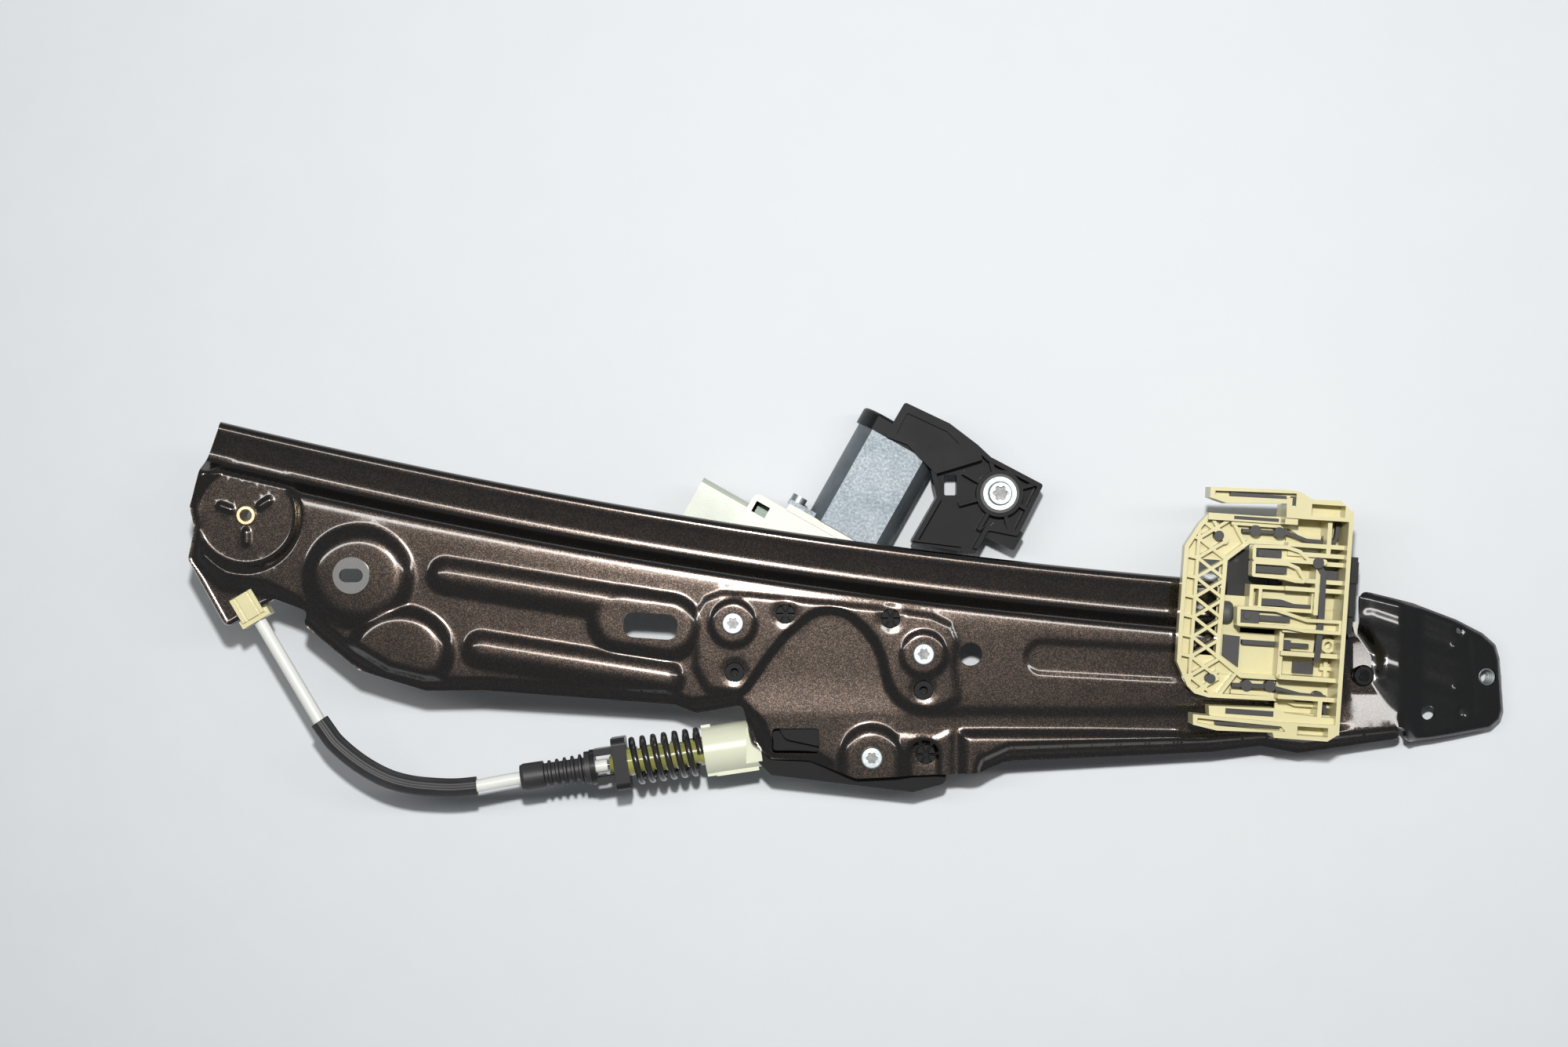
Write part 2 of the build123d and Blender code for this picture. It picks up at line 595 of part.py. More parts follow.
def worm_wheel():
    """Worm wheel with its teeth, a web and a dog that drives the drum."""
    pitch = 360 / wheel_teeth
    root_r = wheel_r - 1.2
    points = []
    for i in range(wheel_teeth):
        for radius, share in ((root_r, -0.28), (wheel_r, -0.12), (wheel_r, 0.12), (root_r, 0.28)):
            a = math.radians((i + share) * pitch)
            points.append((radius * math.cos(a), radius * math.sin(a)))
    blank = extrude(make_face(Polyline(points, close=True)), amount=wheel_w)
    blank -= Pos(0, 0, wheel_w - 3.5) * extrude(Circle(root_r - 3.0) - Circle(8.0), amount=5)
    blank += Pos(0, 0, wheel_w) * extrude(Circle(8.0), amount=case_top - motor_z - wheel_w / 2 + 0.6)
    for i in range(3):
        dog_h = case_top - motor_z - wheel_w / 2 + 4.6
        dog = Box(4.0, 3.0, dog_h, align=(Align.CENTER, Align.CENTER, Align.MIN))
        blank += Rot(0, 0, 120 * i) * Pos(6.5, 0, wheel_w) * dog
    blank -= extrude(Circle(axle_r + shaft_gap), amount=40)
    return Pos(drum_x, drum_y, motor_z - wheel_w / 2) * blank


drum_low, drum_high = -18.8, -8.8
drum_rim_r = 23.6
lower_wrap_z = -11.0            # groove of the cable to the lower pulley


def cable_drum():
    floor_r = drum_groove_r - cable_r - cable_gap
    points = [(axle_r + shaft_gap, drum_low), (drum_rim_r, drum_low), (drum_rim_r, drum_low + 0.6),
              (floor_r, drum_low + 1.4), (floor_r, drum_high - 1.2), (drum_rim_r, drum_high - 0.6),
              (drum_rim_r, drum_high), (floor_r - 2.5, drum_high), (floor_r - 3.0, drum_high - 4.0),
              (10.5, drum_high - 4.0), (10.0, drum_high), (axle_r + shaft_gap, drum_high)]
    body = revolve(Plane.XZ * make_face(Polyline(points, close=True)), axis=Axis.Z)
    for i in range(6):
        body += Rot(0, 0, 60 * i) * Pos(13.7, 0, drum_high - 2.5) * Box(8.0, 1.5, 3.5)
    for i in range(3):
        body -= Rot(0, 0, 120 * i) * Pos(6.5, 0, drum_low) * Box(4.4, 3.4, 9.0)
    return Pos(drum_x, drum_y, 0) * body


def wheel_damper():
    """Rubber ring with three gaps that cushions the wheel's web."""
    ring = extrude(Circle(wheel_r - 4.4) - Circle(8.2), amount=3.2)
    for i in range(3):
        ring -= Rot(0, 0, 120 * i + 60) * Pos(12, 0, 0) * Box(12, 2.0, 10)
    return Pos(drum_x, drum_y, motor_z + wheel_w / 2 - 3.4) * ring


# ---- drum housing
housing_top = -2.45
ledge_top = -7.0
housing_bottom = -20.0
housing_outline = [(-103.0, 14.0), (-70.0, 24.0), (-30.0, 21.0), (-8.0, 8.0), (-7.0, -20.0),
                   (-11.0, -40.0), (-50.0, -42.0), (-78.0, -36.0), (-86.0, -22.0), (-104.0, -14.0)]
ledge_outline = [(-93.0, -24.0), (-89.5, -46.0), (-84.0, -51.5), (-24.0, -58.8), (-10.0, -55.0),
                 (-9.0, -30.0), (-60.0, -20.0)]


def cable_openings():
    """Ways for the two cables out of the housing."""
    way = Plane(origin=drum_touch, z_dir=tension_way) * extrude(Circle(2.2), amount=60)
    start, end = lower_run_ends()
    run = Plane(origin=start, z_dir=end - start) * extrude(Circle(2.2), amount=80)
    return way + run


def drum_housing():
    body = Pos(0, 0, housing_bottom) * extrude(rounded(housing_outline, 4.0),
                                               amount=housing_top - housing_bottom)
    body += Pos(0, 0, housing_bottom) * extrude(rounded(ledge_outline, 3.0),
                                                amount=ledge_top - housing_bottom)
    body -= upright(drum_x, drum_y, drum_rim_r + 1.0, housing_bottom - 1, drum_high + 0.6)
    body -= cable_openings()
    body -= tension_place(0) * Cylinder(nozzle_r, nozzle_long, align=(Align.CENTER, Align.CENTER, Align.MIN))
    body -= upright(drum_x, drum_y, axle_r, -30, 0)
    for x, y in screw_spots:
        body -= upright(x, y, post_r + 0.4, -30, 5)
    for x, y in clip_spots:
        body += upright(x, y, pin_hole_r - 0.3, housing_top - 2, 0.8)
        for i in range(3):
            body -= Pos(x, y, -1.0) * Rot(0, 0, 60 * i) * Box(2 * pin_hole_r + 2, 1.1, 4.0)
    for x, y in hollow_spots:
        body += upright(x, y, pin_hole_r - 0.3, housing_top - 2, 1.8)
        body -= upright(x, y, 1.8, -4.0, 3.0)
    return body


# ---- motor
brush_wide = 4.0
commutator_r = 5.0


def can_section(grow=0.0):
    return Circle(can_r + grow) & Rectangle(3 * can_r, 2 * (can_half + grow))


def can_body(start, end, grow=0.0):
    """Flattened round bar on the motor shaft, in the drive's frame."""
    return Pos(start, 0, 0) * Rot(0, 90, 0) * Rot(0, 0, 90) * extrude(can_section(grow), amount=end - start)


def motor_can():
    end = seam_s + can_long
    body = can_body(seam_s, end)
    body = fillet(body.faces().sort_by(Axis.X)[-1].outer_wire().edges(), 2.0)
    body += along_shaft(end - 0.5, end + 2.5, 6.0)
    body += Pos(seam_s + 1.0, 0, 0) * Box(2.0, 58.0, 20.0)
    body -= can_body(seam_s - 1, end - can_t, -can_t)
    body -= along_shaft(end - 3, end + 1.3, 4.6)
    for side in (-1, 1):
        body -= Pos(seam_s - 1, side * ear_t, 0) * Rot(0, 90, 0) * extrude(Circle(1.9), amount=5)
    return on_motor() * body


def can_screws():
    parts = []
    for side in (-1, 1):
        screw = along_shaft(seam_s - 5, seam_s + 2.0, can_screw_r)
        screw += along_shaft(seam_s + 2.0, seam_s + 5.0, 3.4)
        screw -= Pos(seam_s + 3.6, 0, 0) * Rot(0, 90, 0) * extrude(RegularPolygon(1.7, 6), amount=3)
        parts.append(on_motor(0, side * ear_t, 0) * screw)
    return parts


def motor_end_cap():
    end = seam_s + can_long
    body = can_body(end - 3.0, end + 4.5, 1.3)
    body = fillet(body.faces().sort_by(Axis.X)[-1].outer_wire().edges(), 1.5)
    body -= can_body(end - 4, end, 0.0)
    body -= can_body(end - 4, end + 0.05, 0.0)
    body -= along_shaft(end - 1, end + 2.6, 6.1)
    return on_motor() * body


def magnets():
    start = seam_s + 11
    ring = can_body(start, start + 32, -can_t - 0.05) - along_shaft(start - 1, start + 34, rotor_r + 0.7)
    ring -= Pos(start + 16, 0, 0) * Box(40, 19, 40)
    return [on_motor() * s for s in ring.solids()]


def armature_shaft():
    end = seam_s + can_long
    body = along_shaft(-17, end + 1.0, shaft_r)
    body += along_shaft(-12, 12, worm_r - 0.9)
    thread = Helix(2.4, 21.6, worm_r - 0.75)
    rib = Plane(origin=thread @ 0, x_dir=(thread @ 0).normalized(), z_dir=thread % 0) * Rectangle(1.4, 1.0)
    body += Pos(-10.8, 0, 0) * Rot(0, 90, 0) * sweep(rib, path=thread, is_frenet=True)
    return on_motor() * body


def armature_core():
    start = seam_s + rotor_gap
    body = along_shaft(start, start + rotor_long, rotor_r, shaft_r)
    for i in range(10):
        slot = Pos(start - 1, 0, 0) * Rot(36 * i, 0, 0) * Pos(0, 0, rotor_r - 1.8)
        body -= slot * Box(2 * rotor_long + 4, 1.1, 4.4)
    return on_motor() * body


def armature_windings():
    start = seam_s + rotor_gap
    front = along_shaft(start - 4.5, start, 8.4, shaft_r)
    rear = along_shaft(start + rotor_long, start + rotor_long + 4.5, 8.4, shaft_r)
    parts = [on_motor() * fillet(p.edges().filter_by(GeomType.CIRCLE).sort_by(Axis.X)[i], 1.5)
             for p, i in ((front, 0), (rear, -1))]
    return parts


def commutator():
    start = seam_s + 2.5
    body = along_shaft(start, start + 7.5, commutator_r, shaft_r)
    for i in range(10):
        body -= Rot(36 * i, 0, 0) * Pos(start + 3.5, 0, commutator_r) * Box(9, 0.5, 1.2)
    return on_motor() * body


def brush_holder():
    body = can_body(seam_s + 5.2, seam_s + 6.8, -can_t - 0.05)
    body -= along_shaft(seam_s, seam_s + 12, commutator_r + 1.2)
    for side in (-1, 1):
        body += Pos(seam_s + 6.0, side * 11.0, 0) * Box(brush_wide + 2.4, 8.0, brush_wide + 2.4)
        body -= Pos(seam_s + 6.0, side * 10.5, 0) * Box(brush_wide + 0.2, 10.0, brush_wide + 0.2)
    return on_motor() * body


def carbon_brushes():
    long = 7.0
    middle = commutator_r + 0.15 + long / 2
    return [on_motor(seam_s + 6.0, side * middle, 0) * Box(brush_wide, long, brush_wide) for side in (-1, 1)]


def shaft_bearings():
    end = seam_s + can_long
    spans = ((-16.5, -14.0, bearing_seat_r), (46.0, 51.0, bearing_seat_r), (end - 1.5, end + 1.2, 4.6))
    return [on_motor() * along_shaft(a, b, r, shaft_r + shaft_gap) for a, b, r in spans]


def circuit_board():
    board = Box(23.0, 21.0, 1.6)
    board += Pos(-4, 3, 1.6) * Box(7.0, 5.0, 1.6)
    board += Pos(3, -3, 2.3) * Box(5.0, 5.0, 3.0)
    return on_motor(39.5, 29.0, board_z) * board


connector_wide, connector_long, connector_high = 21.0, 22.5, 15.0


def connector_housing():
    start = 43.0
    body = Pos(38.5, start + connector_long / 2, 0) * Box(connector_wide, connector_long, connector_high)
    body = fillet(body.edges().filter_by(Axis.Y), 2.5)
    mouth = Pos(38.5, start + connector_long / 2 + 4, 0) * Box(
        connector_wide - 3.2, connector_long, connector_high - 3.2)
    body -= mouth
    return on_motor(0, 0, -1.0) * body


def connector_pins():
    parts = []
    for i in range(4):
        pin = Pos(31.0 + 5.0 * i, 43.0 + 4 + 6.0, -1.0) * Box(1.5, 12.0, 0.8)
        parts.append(on_motor() * pin)
    return parts


# ---- motor bracket with its bolt
bolt_x, bolt_y = 13.4, 67.7
thread_r, thread_long = 3.0, 7.0
shank_r = 3.4
bracket_front_z = -14.0
bracket_back_z = -32.0
arm_outline = [(-27.0, 106.5), (-35.5, 92.0), (-26.0, 88.5), (-14.0, 76.0), (6.0, 82.0), (4.5, 88.0),
               (-8.0, 97.5)]
web_outline = [(-2.0, 90.0), (-16.0, 77.5), (-13.4, 66.0), (-24.6, 46.5), (3.0, 41.9), (8.5, 52.0),
               (21.0, 49.5), (32.0, 71.4), (9.6, 83.2), (4.5, 88.0)]
foot_outline = [(6.0, 50.0), (19.6, 43.3), (24.0, 51.0), (12.0, 56.0)]


def motor_bracket():
    level = bracket_front_z - 8.0
    body = Pos(0, 0, bracket_back_z) * extrude(rounded(web_outline, 1.2), amount=level - bracket_back_z)
    wall = rounded(web_outline, 1.2)
    rim = extrude(Pos(0, 0, level) * wall, amount=8.0)
    hollow = Pos(0, 0, level) * extrude(offset(wall, amount=-2.0, kind=Kind.INTERSECTION), amount=9.0)
    body += rim - hollow
    body += Pos(0, 0, bracket_back_z + 4) * extrude(rounded(foot_outline, 1.0), amount=10)
    body += upright(bolt_x, bolt_y, 10.0, bracket_back_z, bracket_front_z)
    for angle in range(0, 360, 45):
        rib = Pos(bolt_x, bolt_y) * Rot(0, 0, angle + 15) * Pos(12, 0) * Rectangle(12, 1.6)
        body += extrude(Pos(0, 0, level) * rib, amount=7.0) & extrude(Pos(0, 0, level) * wall, amount=8.0)
    arm_z = motor_z + can_half + 0.4
    body += Pos(0, 0, arm_z) * extrude(rounded(arm_outline, 1.2), amount=4.4)
    body -= Pos(0, 0, arm_z + 2.0) * extrude(rounded([(-26, 102), (-31, 92.5), (-14, 86), (-3, 88),
                                                      (-9, 94)], 1.0), amount=4)
    body -= Pos(0, 0, -40) * extrude(rounded([(-9.9, 76.0), (-4.5, 76.0), (-4.5, 67.0), (-9.9, 67.0)], 0.8),
                                     amount=40)
    body -= on_motor() * can_body(seam_s - 3, seam_s + can_long + 8, 1.7)
    body -= upright(bolt_x, bolt_y, 8.4, bracket_front_z - 2.5, 0)
    body -= upright(bolt_x, bolt_y, 5.0, -40, 0)
    passing = Circle(rail_crest_r) - Circle(rail_root_r - slider_out - 0.7)
    body -= Pos(rail_x, rail_y, slider_bottom - 0.6) * extrude(passing, amount=10)
    return body.solids().sort_by(SortBy.VOLUME)[-1]


def bracket_bushing():
    """Rubber ring under the bolt's flange with its neck through the bracket."""
    body = upright(bolt_x, bolt_y, 8.3, bracket_front_z - 2.5, bracket_front_z)
    body += upright(bolt_x, bolt_y, 4.9, bracket_back_z, bracket_front_z - 1)
    return body - upright(bolt_x, bolt_y, shank_r + 0.05, -40, 0)


def torx(radius, depth):
    """Cutter for a six-lobed socket."""
    star = Circle(radius * 0.78)
    for i in range(6):
        star += Rot(0, 0, 60 * i) * Pos(radius * 0.72, 0) * Circle(radius * 0.28)
    return extrude(star, amount=depth)


def bracket_bolt():
    body = upright(0, 0, 7.1, bracket_front_z, bracket_front_z + 1.4)
    body += Pos(0, 0, bracket_front_z + 1.4) * Cone(5.2, 4.6, 3.2,
                                                    align=(Align.CENTER, Align.CENTER, Align.MIN))
    body += upright(0, 0, shank_r, bracket_back_z, bracket_front_z)
    body += upright(0, 0, thread_r, bracket_back_z - thread_long, bracket_back_z)
    body -= Pos(0, 0, bracket_front_z + 2.2) * torx(3.4, 4)
    return Pos(bolt_x, bolt_y, 0) * body


def motor_screws():
    """Three pan-head screws from the plate's front into the gear housing's posts."""
    head = Cylinder(4.7, 2.2, align=(Align.CENTER, Align.CENTER, Align.MIN))
    head = fillet(head.edges().sort_by(Axis.Z)[-1], 0.8)
    head -= Pos(0, 0, 0.9) * torx(2.6, 3)
    screw = Pos(0, 0, boss_h) * head
    screw += Pos(0, 0, -16.0) * Cylinder(1.85, 16.0 + boss_h, align=(Align.CENTER, Align.CENTER, Align.MIN))
    return [Pos(x, y, 0) * screw for x, y in screw_spots]


# ---- cables: drum to upper pulley to slider, and slider to lower pulley to drum
carrier_deg = 3.9               # rest place of the carrier along the rail
nipple_reach = 8.0              # from the slider's middle to each nipple's middle
nipple_r = 2.2
nipple_long = 5.0
drum_wrap = 150


def about(x, y, radius, degrees, z=cable_z):
    a = math.radians(degrees)
    return Vector(x + radius * math.cos(a), y + radius * math.sin(a), z)


def arc_about(x, y, radius, start, end, z=cable_z):
    """Arc about a centre from one direction to another, in degrees."""
    return ThreePointArc(about(x, y, radius, start, z), about(x, y, radius, (start + end) / 2, z),
                         about(x, y, radius, end, z))


def rail_arc(start_deg, end_deg):
    """The cable's run along the rail between two places."""
    return ThreePointArc(rail_point(cable_arc_r, start_deg, cable_z),
                         rail_point(cable_arc_r, (start_deg + end_deg) / 2, cable_z),
                         rail_point(cable_arc_r, end_deg, cable_z))


def lower_run_angle():
    """Direction, seen from both wheels, of the common tangent below drum and lower pulley."""
    dx, dy = lower_x - drum_x, lower_y - drum_y
    lean = math.asin((drum_groove_r - pulley_groove_r) / math.hypot(dx, dy)) + math.atan2(dy, dx)
    return math.degrees(lean) - 90


def lower_run_ends():
    angle = lower_run_angle()
    return (about(drum_x, drum_y, drum_groove_r, angle, lower_wrap_z),
            about(lower_x, lower_y, pulley_groove_r, angle))


def nipple_deg(side):
    return carrier_deg - side * math.degrees(nipple_reach / cable_arc_r)


def upper_cable():
    route = conduit_path(upper_touch, tension_point(-nozzle_reach))
    wrap = arc_about(upper_x, upper_y, pulley_groove_r, fitting_angle - 90 + 360, 90 - upper_deg)
    along = rail_arc(upper_deg, nipple_deg(-1))
    path = Wire(list(route.edges()) + [wrap, along])
    main = tube(path, cable_r, 0)
    first = nozzle_angle - 270
    turn = tube(arc_about(drum_x, drum_y, drum_groove_r, first, first + drum_wrap), cable_r, 0)
    return [main, turn]


def lower_cable():
    angle = lower_run_angle()
    wrap = arc_about(lower_x, lower_y, pulley_groove_r, 90 - lower_deg, angle)
    path = Wire([rail_arc(nipple_deg(1), lower_deg), wrap])
    start, end = lower_run_ends()
    run = tube(Line(start, end), cable_r, 0)
    turn = tube(arc_about(drum_x, drum_y, drum_groove_r, angle, angle - drum_wrap, lower_wrap_z), cable_r, 0)
    return [tube(path, cable_r, 0), run, turn]


# ---- slider on the rail
carrier_back_z = 6.2
slider_gap = 0.3
slider_half = 27.0
slider_bottom = -17.0
slider_out = 17.8
slider_in = -3.5
slider_head = 29.0


def on_carrier(x=0.0, y=0.0, z=0.0):
    """Frame of the carrier: x along the rail towards its lower end, y outwards over the lip."""
    return Pos(*rail_point(rail_root_r, carrier_deg)) * Rot(0, 0, -carrier_deg) * Pos(x, y, z)


def block(x0, x1, y0, y1, z0, z1):
    return Pos((x0 + x1) / 2, (y0 + y1) / 2, (z0 + z1) / 2) * Box(x1 - x0, y1 - y0, z1 - z0)


def slider():
    """Plastic shoe that wraps the rolled lip and carries the cable nipples behind the flange."""
    body = block(-slider_half, slider_half, slider_in, slider_out, slider_bottom, 1.0)
    body += block(-slider_half, slider_half, 4.0, slider_head, -2.0, 4.2)
    body += block(-10, 10, 6.0, 24.0, 4.2, carrier_back_z)
    body += block(16, slider_half, 18.0, 27.0, -4.0, carrier_back_z)
    for x0, x1 in ((-slider_half - 1, -14.0), (14.0, slider_half + 1)):
        body -= block(x0, x1, slider_in - 1, 3.2, slider_bottom - 1, flange_z - sheet)
    body -= block(-17, 17, 19.5, 27.5, -3, 2.4)
    body = on_carrier() * body
    body -= rail_sweep(trace(rail_line(rail_crest_r + 3.0), sheet + 2 * slider_gap), carrier_deg + 2,
                       carrier_deg - 2)
    body -= tube(rail_arc(carrier_deg + 2, carrier_deg - 2), cable_r + cable_gap + 0.05, 0)
    for side in (-1, 1):
        body -= nipple_place(side) * Cylinder(nipple_r + 0.1, nipple_long + 0.4)
        body -= nipple_place(side) * Pos(0, 0, 0) * Box(20, 2 * nipple_r + 0.2, nipple_long + 0.4) & (
            on_carrier() * block(-20, 20, -10, 10, -30, cable_z))
    return body


def nipple_place(side):
    """Frame on the cable's run at a nipple, z along the cable."""
    spot = rail_point(cable_arc_r, nipple_deg(side), cable_z)
    a = math.radians(nipple_deg(side))
    return Plane(origin=spot, x_dir=(0, 0, 1), z_dir=(math.cos(a), -math.sin(a), 0))


def cable_nipples():
    nipple = Cylinder(nipple_r, nipple_long) - Cylinder(cable_r + cable_gap, nipple_long + 1)
    return [nipple_place(side) * nipple for side in (-1, 1)]


# ---- glass carrier, in the carrier's own frame
floor_t = 2.0
wall_t = 1.8
strip_t = 1.5                   # rubber strips that damp the carrier's walls
band_top_z = 13.4
glass_gap = 5.0                 # room for the glass and its rubber strips
jaw_z = band_top_z + glass_gap
finger_top_z = 28.0
frame_top_z = 30.0
rib_top_z = 24.0
wall_x = 18.8                   # outer face of the carrier's end wall
column_x = -4.6                 # where the band's arms meet the column
brace_rows = 9
band_outer = [(-5.0, 42.9), (-38.3, 41.6), (-41.3, 37.9), (-46.4, 28.8), (-46.6, -5.0), (-46.4, -19.2),
              (-41.6, -28.6), (-38.7, -31.2), (-33.2, -32.4), (-5.0, -32.0)]
band_inner = [(-5.0, 32.9), (-20.7, 32.5), (-30.0, 24.5), (-30.6, -15.9), (-20.2, -23.4), (-5.0, -23.3)]
post_spots = [(-33.3, 34.2), (-32.8, -25.5)]
clip_r = 2.3
strip_clips = [(-18.6, 37.2), (-8.6, 37.0), (11.6, 34.4), (-18.0, -27.2), (-8.3, -26.9), (11.8, -29.9)]


def ring_wall(points, thick, low, high):
    """Wall that follows an open run of points."""
    return Pos(0, 0, low) * extrude(trace(Polyline(points), thick), amount=high - low)


def slab(points, low, high, corner=0.0):
    """Upright body over a closed outline, with rounded corners if asked."""
    face = rounded(points, corner) if corner else make_face(Polyline(points, close=True))
    return Pos(0, 0, low) * extrude(face, amount=high - low)


def finger(points, low, high):
    """Hollow finger over the glass, open at the front."""
    hollow = offset(make_face(Polyline(points, close=True)), amount=-1.4, kind=Kind.INTERSECTION)
    body = extrude(rounded(points, 1.0), amount=high - low)
    return Pos(0, 0, low) * (body - Pos(0, 0, 3.0) * extrude(hollow, amount=high))


def band_braces():
    """Rungs and a diagonal lattice between the band's outer and inner walls."""
    left, middle, right = -47.5, -41.5, -29.5
    low = band_outer[5][1] - 14.0
    step = (band_outer[3][1] - low + 12.0) / brace_rows
    lines = [((middle, 38.5), (middle, -29.0))]
    for i in range(brace_rows):
        y = low + i * step
        lines.append(((left, y + 1.0), (middle, y)))
        lines.append(((middle, y), (right, y + step)))
        lines.append(((middle, y + step), (right, y)))
    for i in range(2):
        x = -38.0 + i * 8.0
        lines.append(((x, 44.0), (x + 8.0, 31.0)))
        lines.append(((x, -34.0), (x + 8.0, -22.0)))
    bars = [ring_wall(pair, 1.3, carrier_back_z, band_top_z - 0.6) for pair in lines]
    area = make_face(Polyline(band_outer + list(reversed(band_inner)), close=True))
    return [bar & extrude(Pos(0, 0, carrier_back_z) * area, amount=20) for bar in bars]


def carrier_band(low):
    """Open lattice band behind the glass."""
    area = make_face(Polyline(band_outer + list(reversed(band_inner)), close=True))
    body = extrude(Pos(0, 0, low) * area, amount=1.4)
    body -= block(-40.5, -31.5, -16.0, 24.0, low - 1, low + 3)
    body += ring_wall(band_outer, wall_t, low, band_top_z)
    body += ring_wall(band_inner, wall_t, low, band_top_z)
    body += ring_wall([(-28.5, 39.9), (-4.0, 39.9), (1.5, 36.2), (9.0, 36.0)], wall_t, low, band_top_z)
    body += block(-38.6, -4.0, 40.6, 43.4, low, 16.0)
    body += ring_wall([(-24.0, -30.2), (-8.0, -30.2), (3.0, -33.6), (wall_x - 1, -33.6)], wall_t, low,
                      band_top_z)
    for brace in band_braces():
        body += brace
    return body


def carrier_column(low):
    """Ribbed column beside the glass edge, with its floor and end wall."""
    body = block(column_x, wall_x, -44.0, 47.0, low, low + floor_t)
    body += block(-30.4, column_x, -23.4, 9.6, low, low + floor_t)
    body -= block(-21.2, -6.0, -5.5, -3.5, low - 1, low + 3)
    body -= block(-1.0, 9.2, 29.2, 30.6, low - 1, low + 3)
    body += block(wall_x - wall_t, wall_x, -44.5, 47.8, low, frame_top_z)
    for y in (-39.6, -31.4, -23.3, -13.4, -3.8, 13.4, 17.0, 24.4, 27.8, 31.6, 43.2):
        body += block(column_x - 1.6, wall_x - 0.5, y, y + wall_t, low, rib_top_z)
    for x, y0, y1 in ((6.0, 4.0, 25.0), (9.6, 29.0, 44.0), (10.4, -39.5, -30.0)):
        body += block(x, x + wall_t, y0, y1, low, rib_top_z)
    body += block(-6.6, -4.8, -22.5, -3.0, low, rib_top_z - 4)
    body += upright(15.0, -8.4, 3.1, low, 14.0) - upright(15.0, -8.4, 1.6, low + floor_t, 20)
    body += upright(15.0, 9.0, 3.0, low, low + floor_t + 0.8)
    body += upright(-11.9, -19.6, 2.5, low, low + floor_t + 0.4)
    body += block(12.4, 17.2, -19.0, -17.4, low, 12.0) + block(14.0, 15.6, -21.6, -15.0, low, 12.0)
    pocket = block(-20.1, 7.2, 4.6, 14.9, low, 20.0)
    pocket -= block(-18.5, -16.4, 6.2, 13.3, 10.0, 30) + block(-15.0, 5.6, 6.2, 13.3, 12.0, 30)
    return body + pocket


def carrier_arms():
    """Stiff arms above and below that grip the glass from the front."""
    low, top = jaw_z - 3, frame_top_z
    upper = [(-40.7, 53.8), (-8.3, 54.7), (-3.4, 54.2), (0.5, 51.8), (2.6, 51.3), (13.1, 51.8),
             (wall_x, 46.8),
             (wall_x, 43.2), (-8.8, 43.2), (-9.0, 49.0), (-33.6, 47.6), (-40.6, 49.5)]
    body = slab(upper, low, top)
    body -= slab([(-38.6, 52.4), (-5.2, 53.4), (-5.2, 48.0), (-6.8, 48.0), (-6.8, 51.6), (-9.5, 50.8),
                  (-38.6, 50.4)],
                 24.0, top + 1)
    body -= block(1.4, 15.2, 44.8, 49.6, jaw_z, top + 1)
    body += block(-8.8, column_x + 1, 40.6, 48.8, carrier_back_z, top - 2)
    inner = [(-34.8, -36.1), (-7.4, -35.3), (-3.0, -37.0), (wall_x - 0.5, -38.2), (wall_x - 0.5, -42.0),
             (-29.2, -42.0), (-34.3, -39.8)]
    body += slab(inner, low, 26.0)
    lower = [(-41.6, -39.8), (-29.8, -40.2), (-5.5, -40.8), (wall_x, -40.3), (wall_x, -44.0), (14.2, -47.3),
             (-7.8, -47.2), (-8.5, -45.1), (-31.5, -45.8), (-41.3, -44.1)]
    body += slab(lower, low, top)
    body -= slab([(-39.6, -41.2), (-30.0, -41.6), (-5.0, -42.4), (-3.2, -44.4), (-30.0, -43.9),
                  (-39.6, -43.2)],
                 25.0, top + 1)
    body -= block(1.6, 14.2, -45.6, -41.8, jaw_z, top + 1)
    body += block(column_x - 1, wall_x - 0.5, -41.0, -37.4, carrier_back_z, low + 1)
    return body


def carrier_fingers():
    """Fingers that reach over the glass from the column."""
    first = [(-21.4, 31.4), (-7.5, 31.9), (-1.5, 30.4), (2.0, 27.4), (9.5, 27.2), (9.5, 24.9), (-21.2, 24.9)]
    second = [(-21.2, 24.9), (-6.0, 24.9), (-1.8, 23.4), (1.2, 19.0), (1.2, 16.8), (-3.0, 16.8),
              (-8.0, 17.8),
              (-21.0, 18.2)]
    third = [(-26.1, 5.8), (-10.0, 5.8), (-3.0, 4.0), (3.0, 2.4), (17.5, 2.6), (17.5, -3.4), (2.0, -3.4),
             (-5.0, -2.4), (-25.8, -2.4)]
    return [finger(outline, jaw_z, finger_top_z) for outline in (first, second, third)]


def carrier_frame():
    low = carrier_back_z
    body = carrier_band(low) + carrier_column(low) + carrier_arms()
    for part in carrier_fingers():
        body += part
    for part in rubber_parts():
        body -= part
    return on_carrier() * body.solids().sort_by(SortBy.VOLUME)[-1]


